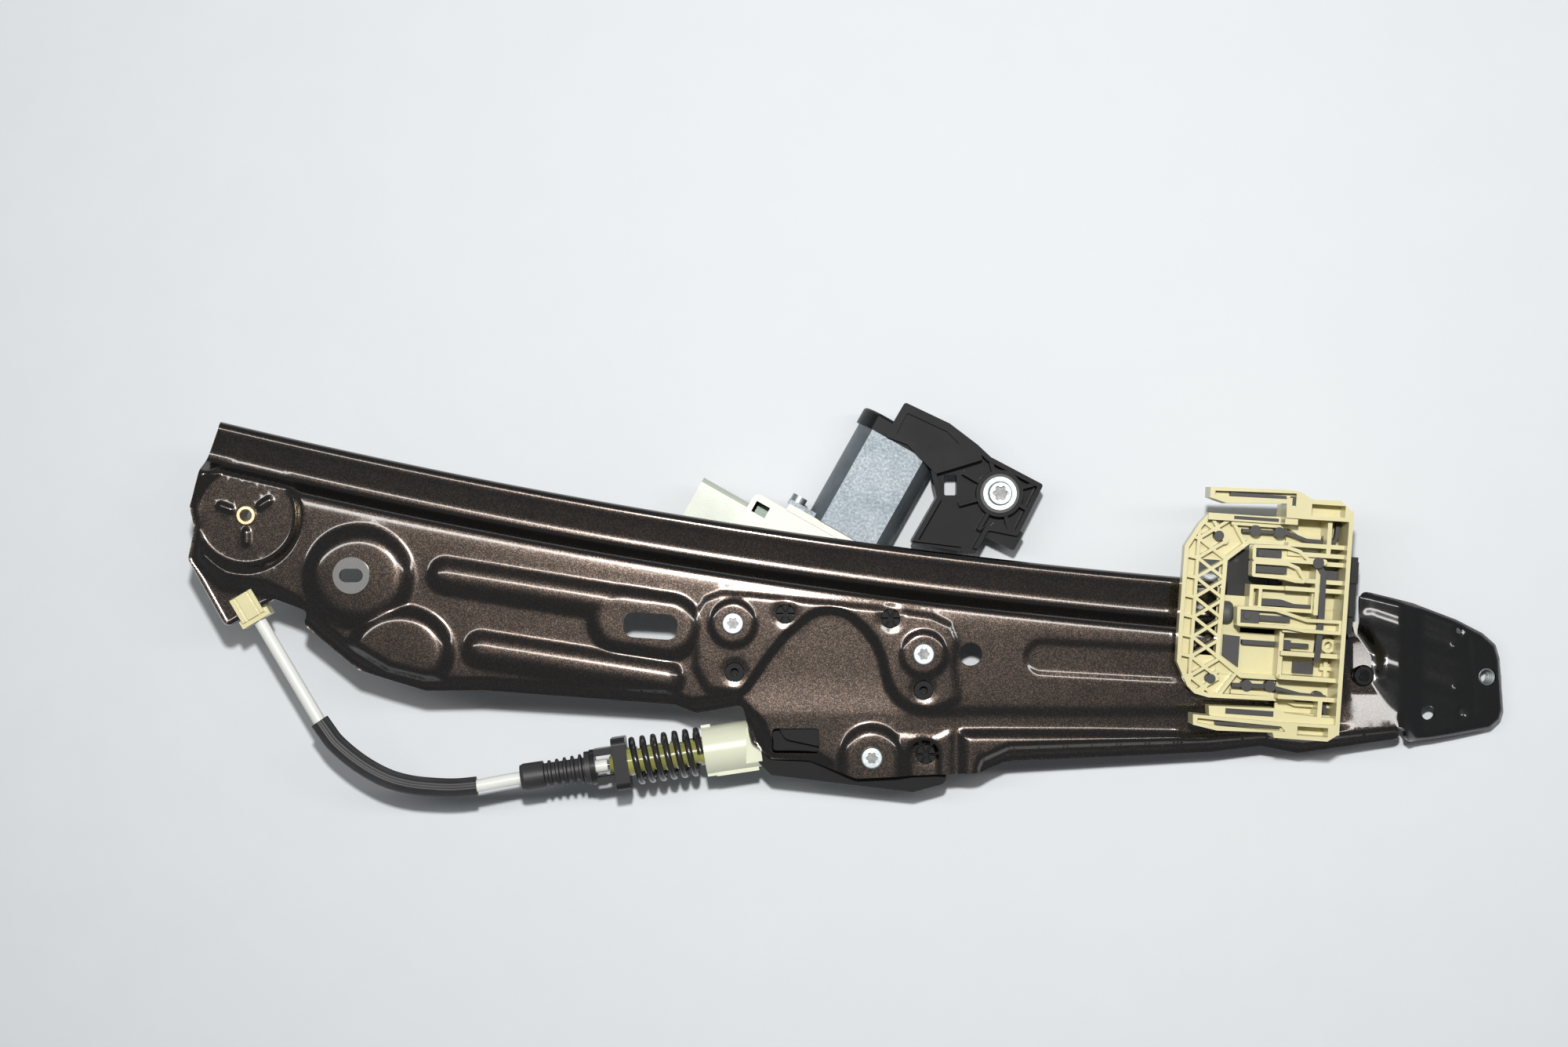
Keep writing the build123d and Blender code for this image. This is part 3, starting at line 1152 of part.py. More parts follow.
def rubber_parts():
    """Rubber strips, clips and pins in the carrier, in its own frame."""
    floor = carrier_back_z + floor_t
    low, high = 11.0, 15.0
    top_strip = ring_wall([(-24.0, 37.0), (-5.0, 37.1), (2.8, 34.6), (14.0, 34.4), (15.2, 36.5),
                           (15.6, 43.0)],
                          strip_t, low, high)
    low_strip = ring_wall([(-24.0, -27.4), (-8.2, -27.0), (5.0, -29.6), (14.6, -29.9), (15.4, -38.0)],
                          strip_t, low, high)
    clips = [upright(x, y, clip_r, low - 0.6, high + 0.8) for x, y in strip_clips]
    top_strip += clips[0] + clips[1] + clips[2]
    low_strip += clips[3] + clips[4] + clips[5]
    spine = ring_wall([(6.4, 25.0), (9.0, 21.0), (9.2, 0.0), (8.6, -15.0)], 2.4, 21.0, 25.0)
    spine += upright(6.0, 25.6, 2.3, 20.0, finger_top_z)
    cross = block(-20.7, 7.0, -10.2, -8.4, floor, 13.0) + block(-3.9, -0.6, -11.3, -7.4, floor, 14.0)
    edge = slab([(-28.2, -6.8), (-21.4, -7.2), (-21.4, -20.0), (-28.2, -15.6)], floor, 10.6)
    grip = slab([(-14.6, 6.6), (-14.6, 9.4), (-6.5, 9.4), (-1.0, 7.9), (5.2, 7.9), (5.2, 6.4), (-6.5, 6.6)],
                12.0, 18.5)
    parts = [top_strip, low_strip, spine, cross, edge, grip]
    parts.append(block(7.9, 16.6, 18.9, 22.6, floor, 15.0))
    parts.append(block(1.4, 10.0, -20.8, -16.2, floor, 10.8))
    parts.append(block(-32.0, -9.0, 50.8, 52.2, 24.0, 28.4) + block(-6.7, -5.3, 48.4, 52.2, 24.0, 28.4))
    parts.append(block(-27.8, -8.0, -38.9, -36.6, 22.0, 26.2))
    parts.append(block(-32.0, -5.4, -43.4, -42.2, 25.0, 28.4))
    parts.append(block(-28.0, -9.4, 41.4, 42.8, 13.0, 16.2))
    finger_floor = jaw_z + 3.0
    parts.append(block(-19.6, -8.8, 26.6, 29.6, finger_floor, 24.6) + upright(-17.6, 28.0, 1.4, 24.6, 26.4))
    parts.append(block(-19.4, -6.4, 20.2, 22.8, finger_floor, 25.6))
    parts.append(block(-24.6, -16.4, -0.9, 4.3, finger_floor, 25.4) + upright(-21.6, 2.0, 1.4, 25.4, 26.6)
                 + block(-16.4, -3.8, 0.4, 2.6, finger_floor, 26.0))
    for x, y in post_spots:
        parts.append(upright(x, y, 2.0, carrier_back_z, band_top_z + 0.3))
    return parts


def carrier_pads():
    return [on_carrier() * part for part in rubber_parts()]


def glass_buffer():
    """Round rubber buffer that the glass edge meets, on the band's wall."""
    radius = 4.9
    body = Pos(-28.8, 2.3, band_top_z - radius + 0.5) * Rot(0, 90, 0) * Cylinder(radius, 8.0)
    body = fillet(body.edges().filter_by(GeomType.CIRCLE).sort_by(Axis.X)[-1], 2.5)
    body -= block(-40, -30.2 + wall_t / 2, -10, 10, 0, 30)
    body -= block(-40, 0, -10, 10, 0, carrier_back_z + floor_t)
    return on_carrier() * body


def save(name, shape):
    """Write one node's STEP file."""
    if isinstance(shape, (list, tuple)):
        shape = Compound(children=[solid for part in shape for solid in part.solids()])
    export_step(shape, os.path.join("parts", name + ".step"))


nodes = {
    "rail_plate": rail_plate, "end_bracket": end_bracket, "weld_nut": weld_nut,
    "mounting_bushing": mounting_bushing,
    "upper_rivet": lambda: pulley_rivet(upper_x, upper_y, -dish_depth),
    "lower_rivet": lambda: pulley_rivet(lower_x, lower_y, 0.0),
    "upper_pulley": lambda: pulley(upper_x, upper_y, -dish_depth - sheet - 0.3),
    "lower_pulley": lambda: pulley(lower_x, lower_y, -sheet - bracket_t - 0.3),
    "drum_housing": drum_housing, "cable_drum": cable_drum, "drum_axle": drum_axle,
    "worm_wheel": worm_wheel, "wheel_damper": wheel_damper, "gear_housing": gear_housing,
    "gear_cover": gear_cover, "motor_screws": motor_screws, "motor_can": motor_can,
    "can_screws": can_screws, "motor_end_cap": motor_end_cap, "magnets": magnets,
    "armature_shaft": armature_shaft, "armature_core": armature_core,
    "armature_windings": armature_windings, "commutator": commutator,
    "brush_holder": brush_holder, "carbon_brushes": carbon_brushes,
    "shaft_bearings": shaft_bearings, "circuit_board": circuit_board,
    "connector_housing": connector_housing, "connector_pins": connector_pins,
    "motor_bracket": motor_bracket, "bracket_bushing": bracket_bushing, "bracket_bolt": bracket_bolt,
    "conduit_end_fitting": end_fitting, "conduit": conduit, "conduit_sleeve": conduit_sleeve,
    "cable_nozzle": cable_nozzle, "adjuster_sleeve": adjuster_sleeve, "tension_spring": tension_spring,
    "spring_seat": spring_seat, "cable_boot": cable_boot,
    "upper_cable": upper_cable, "lower_cable": lower_cable,
    "slider": slider, "cable_nipples": cable_nipples, "carrier_frame": carrier_frame,
    "carrier_pads": carrier_pads, "glass_buffer": glass_buffer,
}

for name, make in nodes.items():
    save(name, make())
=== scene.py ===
import json
import math

import bmesh
import bpy
import numpy as np
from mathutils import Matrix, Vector
from mathutils.geometry import delaunay_2d_cdt


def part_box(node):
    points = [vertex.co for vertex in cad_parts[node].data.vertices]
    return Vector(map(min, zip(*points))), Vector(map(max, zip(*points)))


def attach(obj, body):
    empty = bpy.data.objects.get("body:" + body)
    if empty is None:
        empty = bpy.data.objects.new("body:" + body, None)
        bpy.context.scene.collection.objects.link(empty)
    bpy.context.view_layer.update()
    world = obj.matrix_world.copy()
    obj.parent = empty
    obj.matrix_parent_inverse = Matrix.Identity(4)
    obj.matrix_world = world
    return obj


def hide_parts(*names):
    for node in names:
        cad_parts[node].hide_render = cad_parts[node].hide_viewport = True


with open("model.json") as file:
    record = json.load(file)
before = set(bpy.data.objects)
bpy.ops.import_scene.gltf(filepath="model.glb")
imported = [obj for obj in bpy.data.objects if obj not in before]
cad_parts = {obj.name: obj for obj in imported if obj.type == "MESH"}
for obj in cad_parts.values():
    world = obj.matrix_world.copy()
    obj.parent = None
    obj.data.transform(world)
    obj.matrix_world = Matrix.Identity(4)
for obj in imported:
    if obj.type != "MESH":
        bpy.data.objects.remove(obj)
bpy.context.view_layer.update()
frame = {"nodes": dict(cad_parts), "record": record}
nodes = frame["nodes"]
mm = 0.001
print("frame loaded,", len(nodes), "nodes")

# camera, floor and lamps: places in mm, the floor's and the lamps' sizes in m

view = {
    "eye": (-78.5, 54.9, 1202.0),     # straight above the plate
    "across": 660.0,                  # width of the plate's plane that fills the frame
    "sensor": 36.0, "farthest": 50.0,
}
floorPlan = {
    "leanX": 0.090, "leanY": -0.039,  # slopes: the gear cover touches, the motor and lower nut nearly
    "size": 9.0,
    "colour": (0.75, 0.785, 0.82), "dust": (0.80, 0.83, 0.87),
}
lampPlan = {
    "place": (-85.0, 235.0, 1200.0), "colour": (1.0, 0.985, 0.96),
    "key": (0.045,), "keyPower": 12.4,
    "strip": (1.70, 0.09), "stripPower": 4.8,         # a long tube draws the bright lines along the folds
    "room": (0.93, 0.96, 1.0, 1.0), "fill": 0.10, "mirrored": 0.22,       # shiny faces see a brighter room
}


def placeCamera():
    camera = bpy.data.cameras.new("camera")
    camera.sensor_width = view["sensor"]
    camera.lens = view["sensor"] * view["eye"][2] / view["across"]
    camera.clip_end = view["farthest"]
    eye = bpy.data.objects.new("camera", camera)
    eye.location = Vector(view["eye"]) * mm
    bpy.context.collection.objects.link(eye)
    bpy.context.scene.camera = eye


def floorHeight(x, y):
    return floorPlan["leanX"] * x + floorPlan["leanY"] * y


def layFloor(material):
    lowest = math.inf
    for node in nodes.values():
        co = np.empty(len(node.data.vertices) * 3)
        node.data.vertices.foreach_get("co", co)
        x, y, z = co.reshape(-1, 3).T
        lowest = min(lowest, (z - floorHeight(x, y)).min())
    half = floorPlan["size"] / 2
    corners = []
    for x, y in ((-half, -half), (half, -half), (half, half), (-half, half)):
        corners.append((x, y, lowest + floorHeight(x, y)))
    mesh = bpy.data.meshes.new("floor")
    mesh.from_pydata(corners, [], [(0, 1, 2, 3)])
    mesh.materials.append(material)
    floor = bpy.data.objects.new("floor", mesh)
    bpy.context.collection.objects.link(floor)


def hangLamp(name, shape):
    light = bpy.data.lights.new(name, "AREA")
    light.shape = shape
    light.size = lampPlan[name][0]
    light.size_y = lampPlan[name][-1]
    light.energy = lampPlan[name + "Power"]
    light.color = lampPlan["colour"]
    lamp = bpy.data.objects.new(name, light)
    lamp.location = Vector(lampPlan["place"]) * mm
    bpy.context.collection.objects.link(lamp)


def lightRoom():
    hangLamp("key", "DISK")
    hangLamp("strip", "RECTANGLE")
    world = bpy.data.worlds.new("room")
    world.use_nodes = True
    tree = world.node_tree
    path = addNode(tree, "ShaderNodeLightPath")
    level = remap(tree, path.outputs["Is Glossy Ray"], lampPlan["fill"], lampPlan["mirrored"])
    tree.links.new(level, tree.nodes["Background"].inputs["Strength"])
    tree.nodes["Background"].inputs["Color"].default_value = lampPlan["room"]
    bpy.context.scene.world = world
    bpy.context.scene.view_settings.view_transform = "Standard"


# small helpers for node trees

def addNode(tree, kind, values=None, **settings):
    made = tree.nodes.new(kind)
    for name, value in settings.items():
        setattr(made, name, value)
    for name, value in (values or {}).items():
        if isinstance(value, bpy.types.NodeSocket):
            tree.links.new(value, made.inputs[name])
        else:
            made.inputs[name].default_value = value
    return made


def combine(tree, a, b, operation="ADD", clamp=False):
    return addNode(tree, "ShaderNodeMath", {0: a, 1: b}, operation=operation, use_clamp=clamp).outputs[0]


def scaled(tree, vector, factor):
    return addNode(tree, "ShaderNodeVectorMath", {0: vector, "Scale": factor}, operation="SCALE").outputs[0]


def mixColour(tree, share, a, b):
    return addNode(tree, "ShaderNodeMix", {0: share, 6: a, 7: b}, data_type="RGBA").outputs[2]


def remap(tree, value, low, high, fromLow=0.0, fromHigh=1.0):
    limits = {0: value, 1: fromLow, 2: fromHigh, 3: low, 4: high}
    return addNode(tree, "ShaderNodeMapRange", limits).outputs[0]


def noise(tree, get, scale, detail, roughness=0.5):
    return addNode(tree, "ShaderNodeTexNoise", {
        "Vector": get["Vector"], "Scale": scale, "Detail": detail, "Roughness": roughness}).outputs[0]


def addSockets(tree, side, kinds):
    for label, kind in kinds.items():
        tree.interface.new_socket(label, in_out=side, socket_type="NodeSocket" + kind)


def treeEnds(tree):
    return tree.nodes.new("NodeGroupInput").outputs, tree.nodes.new("NodeGroupOutput").inputs


# shader effects, each built once

def newEffect(name, colours, numbers):
    tree = bpy.data.node_groups.new(name, "ShaderNodeTree")
    addSockets(tree, "INPUT", {
        "Vector": "Vector", **dict.fromkeys(colours, "Color"), **dict.fromkeys(numbers, "Float")})
    addSockets(tree, "OUTPUT", {"Colour": "Color", "Roughness": "Float", "Height": "Float"})
    return tree, *treeEnds(tree)


def mouldEffect():
    tree, get, put = newEffect("mouldedSkin", ("Colour", "Dirt"), ("Grain", "Roughness", "Stain"))
    cloud = noise(tree, get, scale=38.0, detail=5.0, roughness=0.62)
    grain = noise(tree, get, scale=get["Grain"], detail=2.0)
    patch = remap(tree, cloud, -0.9, 1.7)
    share = combine(tree, combine(tree, patch, get["Stain"], "MULTIPLY"), 0.0, "MAXIMUM", clamp=True)
    tree.links.new(mixColour(tree, share, get["Colour"], get["Dirt"]), put["Colour"])
    rough = combine(tree, get["Roughness"], remap(tree, cloud, -0.11, 0.11))
    tree.links.new(rough, put["Roughness"])
    tree.links.new(combine(tree, grain, combine(tree, cloud, 0.6, "MULTIPLY")), put["Height"])
    return tree


def flakeEffect():
    tree, get, put = newEffect("metalFlake", ("Base", "Flake"), ("Grain", "Amount", "Roughness"))
    cells = addNode(tree, "ShaderNodeTexVoronoi", {"Vector": get["Vector"], "Scale": get["Grain"]})
    bright = addNode(tree, "ShaderNodeSeparateColor", {"Color": cells.outputs["Color"]})
    glint = combine(tree, bright.outputs[0], 3.0, "POWER")     # few cells shine, most stay dark
    share = combine(tree, glint, get["Amount"], "MULTIPLY", clamp=True)
    tree.links.new(mixColour(tree, share, get["Base"], get["Flake"]), put["Colour"])
    wobble = remap(tree, noise(tree, get, scale=70.0, detail=4.0), -0.05, 0.05)
    tree.links.new(combine(tree, get["Roughness"], wobble), put["Roughness"])
    tree.links.new(bright.outputs[1], put["Height"])
    return tree


def drawnMetalEffect():
    tree, get, put = newEffect("drawnMetal", ("Colour", "Tint"), ("Grain", "Roughness"))
    cloud = noise(tree, get, scale=90.0, detail=6.0, roughness=0.65)
    fine = noise(tree, get, scale=get["Grain"], detail=3.0)
    share = remap(tree, cloud, 0.0, 1.0, fromLow=0.35, fromHigh=0.68)
    tree.links.new(mixColour(tree, share, get["Colour"], get["Tint"]), put["Colour"])
    wobble = remap(tree, fine, -0.15, 0.15)
    tree.links.new(combine(tree, get["Roughness"], wobble), put["Roughness"])
    tree.links.new(fine, put["Height"])
    return tree


effects = {"mould": mouldEffect(), "flake": flakeEffect(), "drawn": drawnMetalEffect()}
plasticSkin = {"grain": 2200.0, "bumpSize": 0.00012}
metalSkin = {"grain": 900.0, "bump": 0.15, "bumpSize": 0.00008}
coatSkin = {"bumpSize": 0.0001, "ior": 1.7}


def newMaterial(name, effect, values, bump, bumpSize, shader):
    material = bpy.data.materials.new(name)
    material.use_nodes = True
    tree = material.node_tree
    skin = tree.nodes["Principled BSDF"]
    place = addNode(tree, "ShaderNodeTexCoord")
    group = addNode(tree, "ShaderNodeGroup", node_tree=effects[effect])
    tree.links.new(place.outputs["Object"], group.inputs["Vector"])
    for label, value in values.items():
        group.inputs[label].default_value = value if isinstance(value, float) else (*value, 1)
    tree.links.new(group.outputs["Colour"], skin.inputs["Base Color"])
    tree.links.new(group.outputs["Roughness"], skin.inputs["Roughness"])
    if bump:
        relief = addNode(tree, "ShaderNodeBump", {
            "Strength": bump, "Distance": bumpSize, "Height": group.outputs["Height"]})
        tree.links.new(relief.outputs[0], skin.inputs["Normal"])
    for label, value in shader.items():
        skin.inputs[label].default_value = value
    return material


def coatMaterial(name, paint, bump, coatRoughness):
    shader = {
        "Metallic": 1.0, "Coat Weight": 1.0, "Coat Roughness": coatRoughness, "Coat IOR": coatSkin["ior"]}
    return newMaterial(name, "flake", paint, bump, coatSkin["bumpSize"], shader)


def plasticMaterial(name, colour, dirt, roughness, stain=0.25, bump=0.25, **shader):
    labels = {"coat": "Coat Weight", "coatRoughness": "Coat Roughness", "spec": "Specular IOR Level"}
    values = {
        "Colour": colour, "Dirt": dirt, "Roughness": roughness, "Stain": stain,
        "Grain": plasticSkin["grain"]}
    return newMaterial(name, "mould", values, bump, plasticSkin["bumpSize"],
                       {labels[key]: value for key, value in shader.items()})


def metalMaterial(name, colour, tint, roughness, metallic=1.0):
    values = {"Colour": colour, "Tint": tint, "Roughness": roughness, "Grain": metalSkin["grain"]}
    shader = {"Metallic": metallic}
    return newMaterial(name, "drawn", values, metalSkin["bump"], metalSkin["bumpSize"], shader)


brownPaint = {
    "Base": (0.012, 0.0095, 0.0083), "Flake": (0.15, 0.105, 0.077), "Grain": 3300.0, "Amount": 0.5,
    "Roughness": 0.285,
}
blackPaint = {
    "Base": (0.010, 0.010, 0.010), "Flake": (0.05, 0.046, 0.042), "Grain": 3300.0, "Amount": 0.4,
    "Roughness": 0.33,
}
looks = {
    "coated_steel": coatMaterial("blackCoat", brownPaint, bump=0.08, coatRoughness=0.10),
    "black_gloss": coatMaterial("blackGloss", blackPaint, bump=0.05, coatRoughness=0.09),
    "zinc": metalMaterial("zincPlate", (0.42, 0.45, 0.46), (0.30, 0.33, 0.34), 0.5),
    "galvanised": metalMaterial("galvanisedCan", (0.19, 0.215, 0.235), (0.13, 0.155, 0.175), 0.5,
                                metallic=0.6),
    "brass": metalMaterial("brassRivet", (0.56, 0.36, 0.14), (0.36, 0.2, 0.07), 0.25),
    "steel": metalMaterial("wireSteel", (0.40, 0.40, 0.41), (0.2, 0.19, 0.18), 0.32),
    "dark_steel": metalMaterial("darkSteel", (0.20, 0.20, 0.21), (0.1, 0.1, 0.1), 0.45),
    "ferrite": metalMaterial("ferrite", (0.05, 0.05, 0.055), (0.03, 0.03, 0.03), 0.6, metallic=0.3),
    "copper": metalMaterial("copperWire", (0.60, 0.24, 0.09), (0.35, 0.12, 0.04), 0.3),
    "grommet_grey": plasticMaterial("grommetGrey", (0.17, 0.17, 0.17), (0.06, 0.055, 0.05), 0.30, coat=0.4),
    "black_plastic": plasticMaterial("blackPlastic", (0.012, 0.012, 0.013), (0.024, 0.024, 0.025), 0.48,
                                     stain=0.4, bump=0.15, spec=0.25, coat=0.3, coatRoughness=0.10),
    "white_plastic": plasticMaterial("whitePlastic", (0.82, 0.80, 0.72), (0.62, 0.58, 0.46), 0.42),
    "conduit_white": plasticMaterial("conduitWhite", (0.84, 0.85, 0.82), (0.60, 0.60, 0.54), 0.30,
                                     stain=0.18, coat=0.3),
    "cream_plastic": plasticMaterial("creamPlastic", (0.72, 0.67, 0.39), (0.44, 0.37, 0.15), 0.34,
                                     stain=0.3, coat=0.3),
    "connector_green": plasticMaterial("connectorGreen", (0.50, 0.55, 0.46), (0.34, 0.38, 0.30), 0.30,
                                       stain=0.4, coat=0.3),
    "nozzle_white": plasticMaterial("nozzleWhite", (0.76, 0.78, 0.62), (0.55, 0.56, 0.38), 0.30,
                                    stain=0.3, coat=0.4),
    "grease_sleeve": plasticMaterial("greasedSleeve", (0.42, 0.42, 0.12), (0.10, 0.10, 0.02), 0.16,
                                     stain=0.8, coat=0.9),
    "rubber": plasticMaterial("blackRubber", (0.022, 0.022, 0.024), (0.07, 0.07, 0.07), 0.5, stain=0.45),
    "grey_rubber": plasticMaterial("greyRubber", (0.075, 0.075, 0.08), (0.16, 0.16, 0.16), 0.55, stain=0.5),
    "board_green": plasticMaterial("boardGreen", (0.03, 0.14, 0.05), (0.02, 0.08, 0.03), 0.3, coat=0.5),
    "carbon": plasticMaterial("carbon", (0.03, 0.03, 0.03), (0.05, 0.05, 0.05), 0.6),
}
# pieces that look a little different from the others in their slot
springCoat = plasticMaterial("springCoat", (0.012, 0.012, 0.013), (0.05, 0.048, 0.03), 0.22,
                             stain=0.3, coat=0.6)
paleBrass = metalMaterial("paleBrass", (0.72, 0.62, 0.45), (0.55, 0.42, 0.22), 0.3)
housingBlack = plasticMaterial("housingBlack", (0.007, 0.007, 0.008), (0.018, 0.018, 0.019), 0.5,
                               stain=0.4, bump=0.2, spec=0.12, coat=0.22, coatRoughness=0.06)
ownLooks = {
    "drum_housing": housingBlack, "motor_bracket": housingBlack, "motor_end_cap": housingBlack,
    "tension_spring": springCoat, "lower_rivet": looks["black_gloss"], "upper_rivet": paleBrass,
}
# dark grey metal for the star slabs in the sockets: painted shade that stands in for the shade inside the
# recesses
socketShade = metalMaterial("socketShade", (0.20, 0.21, 0.21), (0.11, 0.11, 0.11), 0.5)
floorLook = plasticMaterial("paleFloor", floorPlan["colour"], floorPlan["dust"], 0.75, stain=0.4, bump=0.0)


def dressNodes():
    slotOf = {entry["node"]: entry["material_slot"] for entry in frame["record"]["subparts"]}
    for name, node in nodes.items():
        look = ownLooks.get(name, looks[slotOf[name]])
        if not node.material_slots:
            node.data.materials.append(look)
        for slot in node.material_slots:
            slot.material = look


# shapers: node trees that make what follows a path or repeats

def newShaper(name, numbers, wholes=(), vectors=()):
    tree = bpy.data.node_groups.new(name, "GeometryNodeTree")
    addSockets(tree, "INPUT", {
        "Geometry": "Geometry", **dict.fromkeys(numbers, "Float"), **dict.fromkeys(wholes, "Int"),
        **dict.fromkeys(vectors, "Vector"), "Material": "Material"})
    addSockets(tree, "OUTPUT", {"Geometry": "Geometry"})
    return tree, *treeEnds(tree)


def closeShaper(tree, get, put, geometry):
    whole = addNode(tree, "GeometryNodeRealizeInstances", {"Geometry": geometry})
    painted = addNode(tree, "GeometryNodeSetMaterial", {
        "Geometry": whole.outputs[0], "Material": get["Material"]})
    tree.links.new(painted.outputs[0], put["Geometry"])
    return tree


def shaped(name, tree, points, edges, values):
    mesh = bpy.data.meshes.new(name)
    mesh.from_pydata([tuple(Vector(p) * mm) for p in points], edges, [])
    piece = bpy.data.objects.new(name, mesh)
    bpy.context.collection.objects.link(piece)
    modifier = piece.modifiers.new("shape", "NODES")
    modifier.node_group = tree
    for socket in tree.interface.items_tree:
        if socket.in_out == "INPUT" and socket.name in values:
            modifier[socket.identifier] = values[socket.name]
    graph = bpy.context.evaluated_depsgraph_get()
    made = bpy.data.meshes.new_from_object(piece.evaluated_get(graph), depsgraph=graph)
    piece.modifiers.clear()
    piece.data = made
    print(name, "faces", len(made.polygons))
    return piece


def lobedRing(tree, get, resolution):
    # a circle that swings in and out once for each lobe
    ring = addNode(tree, "GeometryNodeCurvePrimitiveCircle", {
        "Resolution": resolution, "Radius": get["Radius"]})
    spot = addNode(tree, "GeometryNodeInputPosition").outputs[0]
    x, y, _ = addNode(tree, "ShaderNodeSeparateXYZ", {0: spot}).outputs
    turn = combine(tree, combine(tree, y, x, "ARCTAN2"), get["Lobes"], "MULTIPLY")
    height = combine(tree, combine(tree, turn, 0.0, "COSINE"), get["Depth"], "MULTIPLY")
    outward = addNode(tree, "ShaderNodeVectorMath", {0: spot}, operation="NORMALIZE").outputs[0]
    return addNode(tree, "GeometryNodeSetPosition", {
        "Geometry": ring.outputs[0], "Offset": scaled(tree, outward, height)}).outputs[0]


def alongCurve(tree, curve, profile):
    return addNode(tree, "GeometryNodeCurveToMesh", {
        "Curve": curve, "Profile Curve": profile, "Fill Caps": True}).outputs[0]


def ribbedTubeShaper():
    tree, get, put = newShaper("ribbedTube", numbers=("Radius", "Depth"), wholes=("Lobes", "Points"))
    path = addNode(tree, "GeometryNodeMeshToCurve", {"Mesh": get["Geometry"]})
    smooth = addNode(tree, "GeometryNodeCurveSplineType", {"Curve": path.outputs[0]},
                     spline_type="CATMULL_ROM")
    even = addNode(tree, "GeometryNodeResampleCurve", {"Curve": smooth.outputs[0], "Count": get["Points"]})
    tube = alongCurve(tree, even.outputs[0], lobedRing(tree, get, resolution=96))
    return closeShaper(tree, get, put, tube)


def threadShaper():
    tree, get, put = newShaper("thread", numbers=("Turns", "Radius", "Length", "Crest"),
                               vectors=("Place", "Turn"))
    helix = addNode(tree, "GeometryNodeCurveSpiral", {
        "Resolution": 36, "Rotations": get["Turns"], "Height": get["Length"],
        "Start Radius": get["Radius"], "End Radius": get["Radius"]})
    crest = addNode(tree, "GeometryNodeCurvePrimitiveCircle", {"Resolution": 8, "Radius": get["Crest"]})
    placed = addNode(tree, "GeometryNodeTransform", {
        "Geometry": alongCurve(tree, helix.outputs[0], crest.outputs[0]), "Translation": get["Place"],
        "Rotation": get["Turn"]})
    return closeShaper(tree, get, put, placed.outputs[0])


def starShaper():
    tree, get, put = newShaper("starSocketShade", numbers=("Radius", "Depth", "Wall"), wholes=("Lobes",))
    flat = addNode(tree, "GeometryNodeFillCurve", {"Curve": lobedRing(tree, get, resolution=48)})
    thick = addNode(tree, "GeometryNodeExtrudeMesh", {"Mesh": flat.outputs[0], "Offset Scale": get["Wall"]})
    many = addNode(tree, "GeometryNodeInstanceOnPoints", {
        "Points": get["Geometry"], "Instance": thick.outputs[0]})
    return closeShaper(tree, get, put, many.outputs[0])


# a thin dark star slab sits in each screw head's socket and in the bolt's socket, as painted shade for the
# hollow of the recess
sockets = {
    "lobes": 6, "lobeShare": 0.131,    # a lobe's depth as a share of the star's radius
    "wall": 0.25, "bolt": "bracket_bolt",
    "screwRadius": 2.15, "screwZ": 2.55, "boltRadius": 2.8, "boltZ": -11.75,
}


def makeSockets():
    boltX, boltY, _ = [sum(pair) / 2 / mm for pair in zip(*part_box(sockets["bolt"]))]
    shaper = starShaper()
    groups = (
        ("screwSocketShade", sockets["screwRadius"], [(x, y, sockets["screwZ"]) for x, y in plate["screws"]]),
        ("boltSocketShade", sockets["boltRadius"], [(boltX, boltY, sockets["boltZ"])]))
    for name, radius, points in groups:
        piece = shaped(name, shaper, points, [], {
            "Radius": radius * mm, "Depth": sockets["lobeShare"] * radius * mm, "Wall": sockets["wall"] * mm,
            "Lobes": sockets["lobes"], "Material": socketShade})
        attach(piece, "base")


sleeve = {
    "path": ((-276.3, -29.2), (-273.2, -33.6), (-269.6, -38.3), (-262.6, -44.5), (-254.8, -49.8),
             (-246.4, -53.9), (-237.3, -56.3), (-228.0, -57.3), (-218.6, -57.6), (-209.2, -56.8)),
    "z": -14.0, "radius": 3.95, "ribs": 9, "depth": 0.22, "points": 96,
}


def makeSleeve():
    points = [(x, y, sleeve["z"]) for x, y in sleeve["path"]]
    edges = [(k, k + 1) for k in range(len(points) - 1)]
    piece = shaped("ribbedSleeve", ribbedTubeShaper(), points, edges, {
        "Radius": sleeve["radius"] * mm, "Lobes": sleeve["ribs"], "Depth": sleeve["depth"] * mm,
        "Points": sleeve["points"], "Material": looks["rubber"]})
    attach(piece, "base")
    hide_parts("conduit_sleeve")


thread = {
    "place": (220.1, -10.2, -10.3), "tilt": 12.1,      # mouth of the nut, which leans with the bracket
    "radius": 3.35, "length": 8.2, "crest": 0.36, "turns": 6.5,
}


def makeThread():
    tilt = math.radians(thread["tilt"])
    down = Vector((-math.sin(tilt), 0.0, -math.cos(tilt))) * thread["length"]
    piece = shaped("nutThread", threadShaper(), [thread["place"]], [], {
        "Turns": thread["turns"], "Radius": thread["radius"] * mm, "Length": thread["length"] * mm,
        "Crest": thread["crest"] * mm, "Place": tuple((Vector(thread["place"]) + down) * mm),
        "Turn": (0.0, tilt, 0.0), "Material": looks["zinc"]})
    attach(piece, "base")


# pressed plate, as one smooth sheet: sizes in mm, and angles round the rail's centre in degrees

